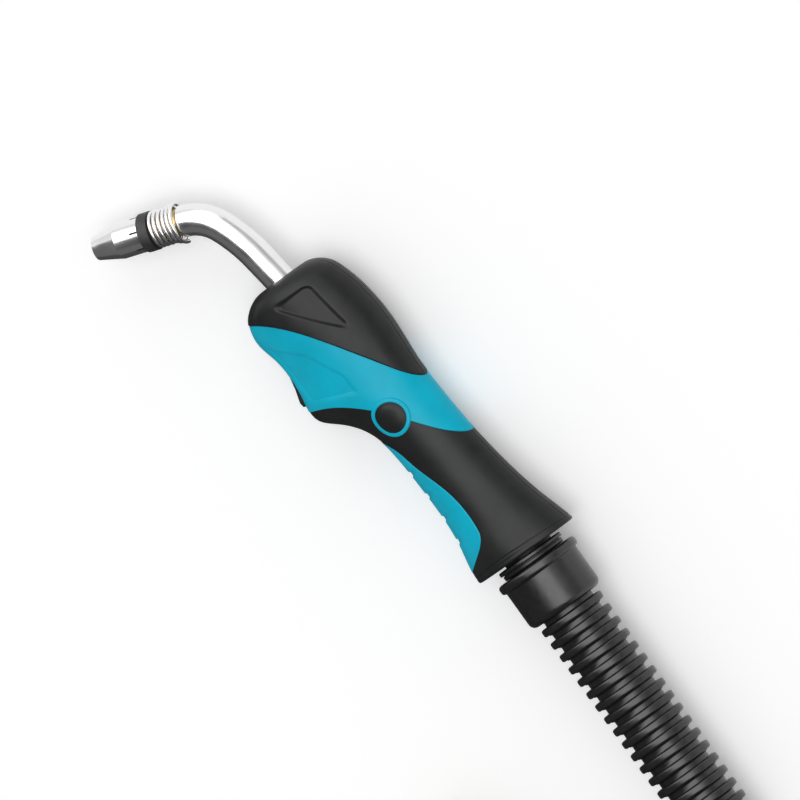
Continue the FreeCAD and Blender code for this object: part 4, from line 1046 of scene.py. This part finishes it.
def paint_reflection_card(name, corners, level):
    """A plain card round the stage that only reflections see: a painted reflection, dark or bright by its glow,
    that lights and shades nothing.
    """
    material = bpy.data.materials.new(name)
    material.use_nodes = True
    nodes = material.node_tree.nodes
    nodes.clear()
    glow = nodes.new("ShaderNodeEmission")
    glow.inputs["Strength"].default_value = level
    output = nodes.new("ShaderNodeOutputMaterial")
    material.node_tree.links.new(glow.outputs["Emission"], output.inputs["Surface"])
    mesh = bpy.data.meshes.new(name)
    mesh.from_pydata(corners, [], [tuple(range(len(corners)))])
    mesh.materials.append(material)
    card = bpy.data.objects.new(name, mesh)
    bpy.context.collection.objects.link(card)
    card.visible_camera = False
    card.visible_diffuse = False
    card.visible_shadow = False
    card.visible_transmission = False


def paint_reflection_cards(roof_highlight_level):
    """Painted dark reflections from cards on the palm side, and a painted highlight from a bright card over the
    spine side; only reflections see them.
    """
    for name, corners, level in PAINTED_DARK_REFLECTION_CARDS:
        paint_reflection_card(name, corners, level)
    paint_reflection_card("painted_highlight_roof_card", PAINTED_HIGHLIGHT_ROOF, roof_highlight_level)


def build_world(fill):
    """White wherever the camera or a shiny surface looks past the floor, softer for the fill light."""
    world = bpy.data.worlds.new("studio")
    bpy.context.scene.world = world
    world.use_nodes = True
    nodes = world.node_tree.nodes
    links = world.node_tree.links
    nodes.clear()
    level = nodes.new("ShaderNodeMapRange")
    level.inputs["To Min"].default_value = fill
    level.inputs["To Max"].default_value = 1.0
    background = nodes.new("ShaderNodeBackground")
    output = nodes.new("ShaderNodeOutputWorld")
    links.new(seen_directly(nodes, links), level.inputs["Value"])
    links.new(level.outputs["Result"], background.inputs["Strength"])
    links.new(background.outputs["Background"], output.inputs["Surface"])


# each lamp's name, way, strength and spread in degrees
LAMPS = (("overhead_lamp", (0.0, 0.17, -1.0), 1.0, 44), ("front_lamp", (-0.8, 0.5, -0.5), 0.4, 50))


def build_lamp(name, towards, strength, spread_deg):
    """A wide soft lamp far off, shining along a direction."""
    lamp = bpy.data.lights.new(name, "SUN")
    lamp.energy = strength
    lamp.angle = math.radians(spread_deg)
    holder = bpy.data.objects.new(name, lamp)
    holder.rotation_euler = Vector(towards).to_track_quat("-Z", "Y").to_euler()
    bpy.context.collection.objects.link(holder)


def build_camera():
    """A long lens at the photograph's viewing angle."""
    data = bpy.data.cameras.new("camera")
    data.lens = LENS
    data.sensor_width = SENSOR
    data.clip_end = 200.0
    camera = bpy.data.objects.new("camera", data)
    bpy.context.collection.objects.link(camera)
    along = VIEW_ALONG.normalized()
    right = along.cross(VIEW_UP).normalized()
    up = right.cross(along)
    turn = camera.matrix_world.to_3x3()
    turn.col[0] = right
    turn.col[1] = up
    turn.col[2] = -along
    whole = turn.to_4x4()
    whole.translation = VIEW_CENTRE - along * (VIEW_WIDTH * LENS / SENSOR)
    camera.matrix_world = whole
    bpy.context.scene.camera = camera


# settings


def colour_setting(label, told, default):
    """One colour that a user would change."""
    return bpy.props.FloatVectorProperty(name=label, description=told, subtype="COLOR", size=3,
                                         min=0.0, max=1.0, default=default)


def size_setting(label, told, default_mm):
    """One length that a user would change, kept in metres."""
    return bpy.props.FloatProperty(name=label, description=told, subtype="DISTANCE", unit="LENGTH", min=0.0,
                                   precision=5, default=default_mm * MM)


def size_mm(name):
    """A length setting in millimetres, rounded to its drawn digits."""
    return round(getattr(bpy.context.scene.torch_sizes, name) / MM, 4)


class TorchColours(bpy.types.PropertyGroup):
    """Colours of the torch's finishes."""
    black_plastic: colour_setting("Black plastic", "Handle shells, trigger, emblems", (0.017, 0.0175, 0.018))
    teal: colour_setting("Teal", "Side covers and palm insert", (0.003, 0.44, 0.61))
    black_rubber: colour_setting("Black rubber", "Sleeve, collar and joint ring", (0.009, 0.009, 0.009))
    cable_rubber: colour_setting("Cable rubber", "Cable jacket", (0.02, 0.02, 0.021))
    bright_metal: colour_setting("Bright metal", "Neck, nozzle and spring", (0.84, 0.84, 0.845))
    brass: colour_setting("Brass", "Adapter, diffuser and plug", (0.72, 0.52, 0.22))
    copper: colour_setting("Copper", "Contact tip and inner tube", (0.78, 0.38, 0.24))
    steel: colour_setting("Steel", "Screws, pin and small springs", (0.55, 0.55, 0.56))
    insulator: colour_setting("Insulator", "Ring behind the nozzle", (0.025, 0.025, 0.026))
    white_plastic: colour_setting("White plastic", "Plunger and neck insulation", (0.75, 0.75, 0.7))
    floor: colour_setting("Floor", "Bench top under the torch", (0.93, 0.93, 0.93))


class TorchSizes(bpy.types.PropertyGroup):
    """Sizes of the visible trim."""
    fill_light: bpy.props.FloatProperty(name="Fill light", default=0.62, min=0.0, max=1.0,
                                        description="Level of the even light from all round")
    # glow of the bright card, a painted highlight in glossy finishes that lights nothing
    painted_highlight_level: bpy.props.FloatProperty(name="Reflected light", default=3.0, min=0.0, max=8.0,
                                             description="Level of the card that glossy finishes mirror")
    recess_depth: size_setting("Recess depth", "How deep the tray in the head is", RECESS_DEEP)
    scoop_depth: size_setting("Scoop depth", "How deep the hollow in the side cover is", SCOOP_DEEP)
    notch_depth: size_setting("Notch depth", "How deep the notches of the palm insert are", NOTCH_DEEP)
    rib_round: size_setting("Rib rounding", "Radius of the sleeve ribs' edges", RIB_ROUND)
    cable_diameter: size_setting("Cable diameter", "Thickness of the free cable", CABLE_DIA)


# operators


class TORCH_OT_stage(bpy.types.Operator):
    """Set up the floor, the lamps and the camera"""
    bl_idname = "torch.stage"
    bl_label = "Stage"

    def execute(self, context):
        build_camera()
        build_floor(tuple(context.scene.torch_colours.floor))
        build_world(context.scene.torch_sizes.fill_light)
        # the painted dark reflections and the painted highlight, seen only in reflections
        paint_reflection_cards(context.scene.torch_sizes.painted_highlight_level)
        for values in LAMPS:
            build_lamp(*values)
        return {"FINISHED"}


class TORCH_OT_cable(bpy.types.Operator):
    """Lay the free cable from the sleeve to the plug"""
    bl_idname = "torch.cable"
    bl_label = "Cable"

    def execute(self, context):
        build_cable()
        return {"FINISHED"}


class TORCH_OT_handle(bpy.types.Operator):
    """Build the handle's shells, covers, palm insert and emblems"""
    bl_idname = "torch.handle"
    bl_label = "Handle"

    def execute(self, context):
        build_handle()
        return {"FINISHED"}


class TORCH_OT_hose_end(bpy.types.Operator):
    """Build the grooved ring, the collar and the ribbed sleeve"""
    bl_idname = "torch.hose_end"
    bl_label = "Hose end"

    def execute(self, context):
        build_hose_end()
        return {"FINISHED"}


class TORCH_OT_finishes(bpy.types.Operator):
    """Give every kept piece its own finish"""
    bl_idname = "torch.finishes"
    bl_label = "Finishes"

    def execute(self, context):
        for name, piece in frame["nodes"].items():
            piece.data.materials.clear()
            piece.data.materials.append(finish_for(slot_of(name)))
        return {"FINISHED"}


class TORCH_PT_dresser(bpy.types.Panel):
    """Lists the steps that dress the torch"""
    bl_idname = "TORCH_PT_dresser"
    bl_label = "Welding torch"
    bl_space_type = "VIEW_3D"
    bl_region_type = "UI"
    bl_category = "Torch"

    def draw(self, context):
        column = self.layout.column()
        for step in STEPS:
            column.operator(step.bl_idname)
        for group in (context.scene.torch_colours, context.scene.torch_sizes):
            for name in group.__annotations__:
                column.prop(group, name)


STEPS = (TORCH_OT_stage, TORCH_OT_cable, TORCH_OT_finishes, TORCH_OT_handle, TORCH_OT_hose_end)
CLASSES = (TorchColours, TorchSizes) + STEPS + (TORCH_PT_dresser,)


def register():
    for kind in CLASSES:
        bpy.utils.register_class(kind)
    bpy.types.Scene.torch_colours = bpy.props.PointerProperty(type=TorchColours)
    bpy.types.Scene.torch_sizes = bpy.props.PointerProperty(type=TorchSizes)


def unregister():
    del bpy.types.Scene.torch_sizes
    del bpy.types.Scene.torch_colours
    for kind in reversed(CLASSES):
        bpy.utils.unregister_class(kind)


def main():
    """Dresses the torch."""
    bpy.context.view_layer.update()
    bpy.context.scene.view_settings.view_transform = "Standard"
    register()
    for step in STEPS:
        group, name = step.bl_idname.split(".")
        getattr(getattr(bpy.ops, group), name)()


if __name__ == "__main__":
    main()
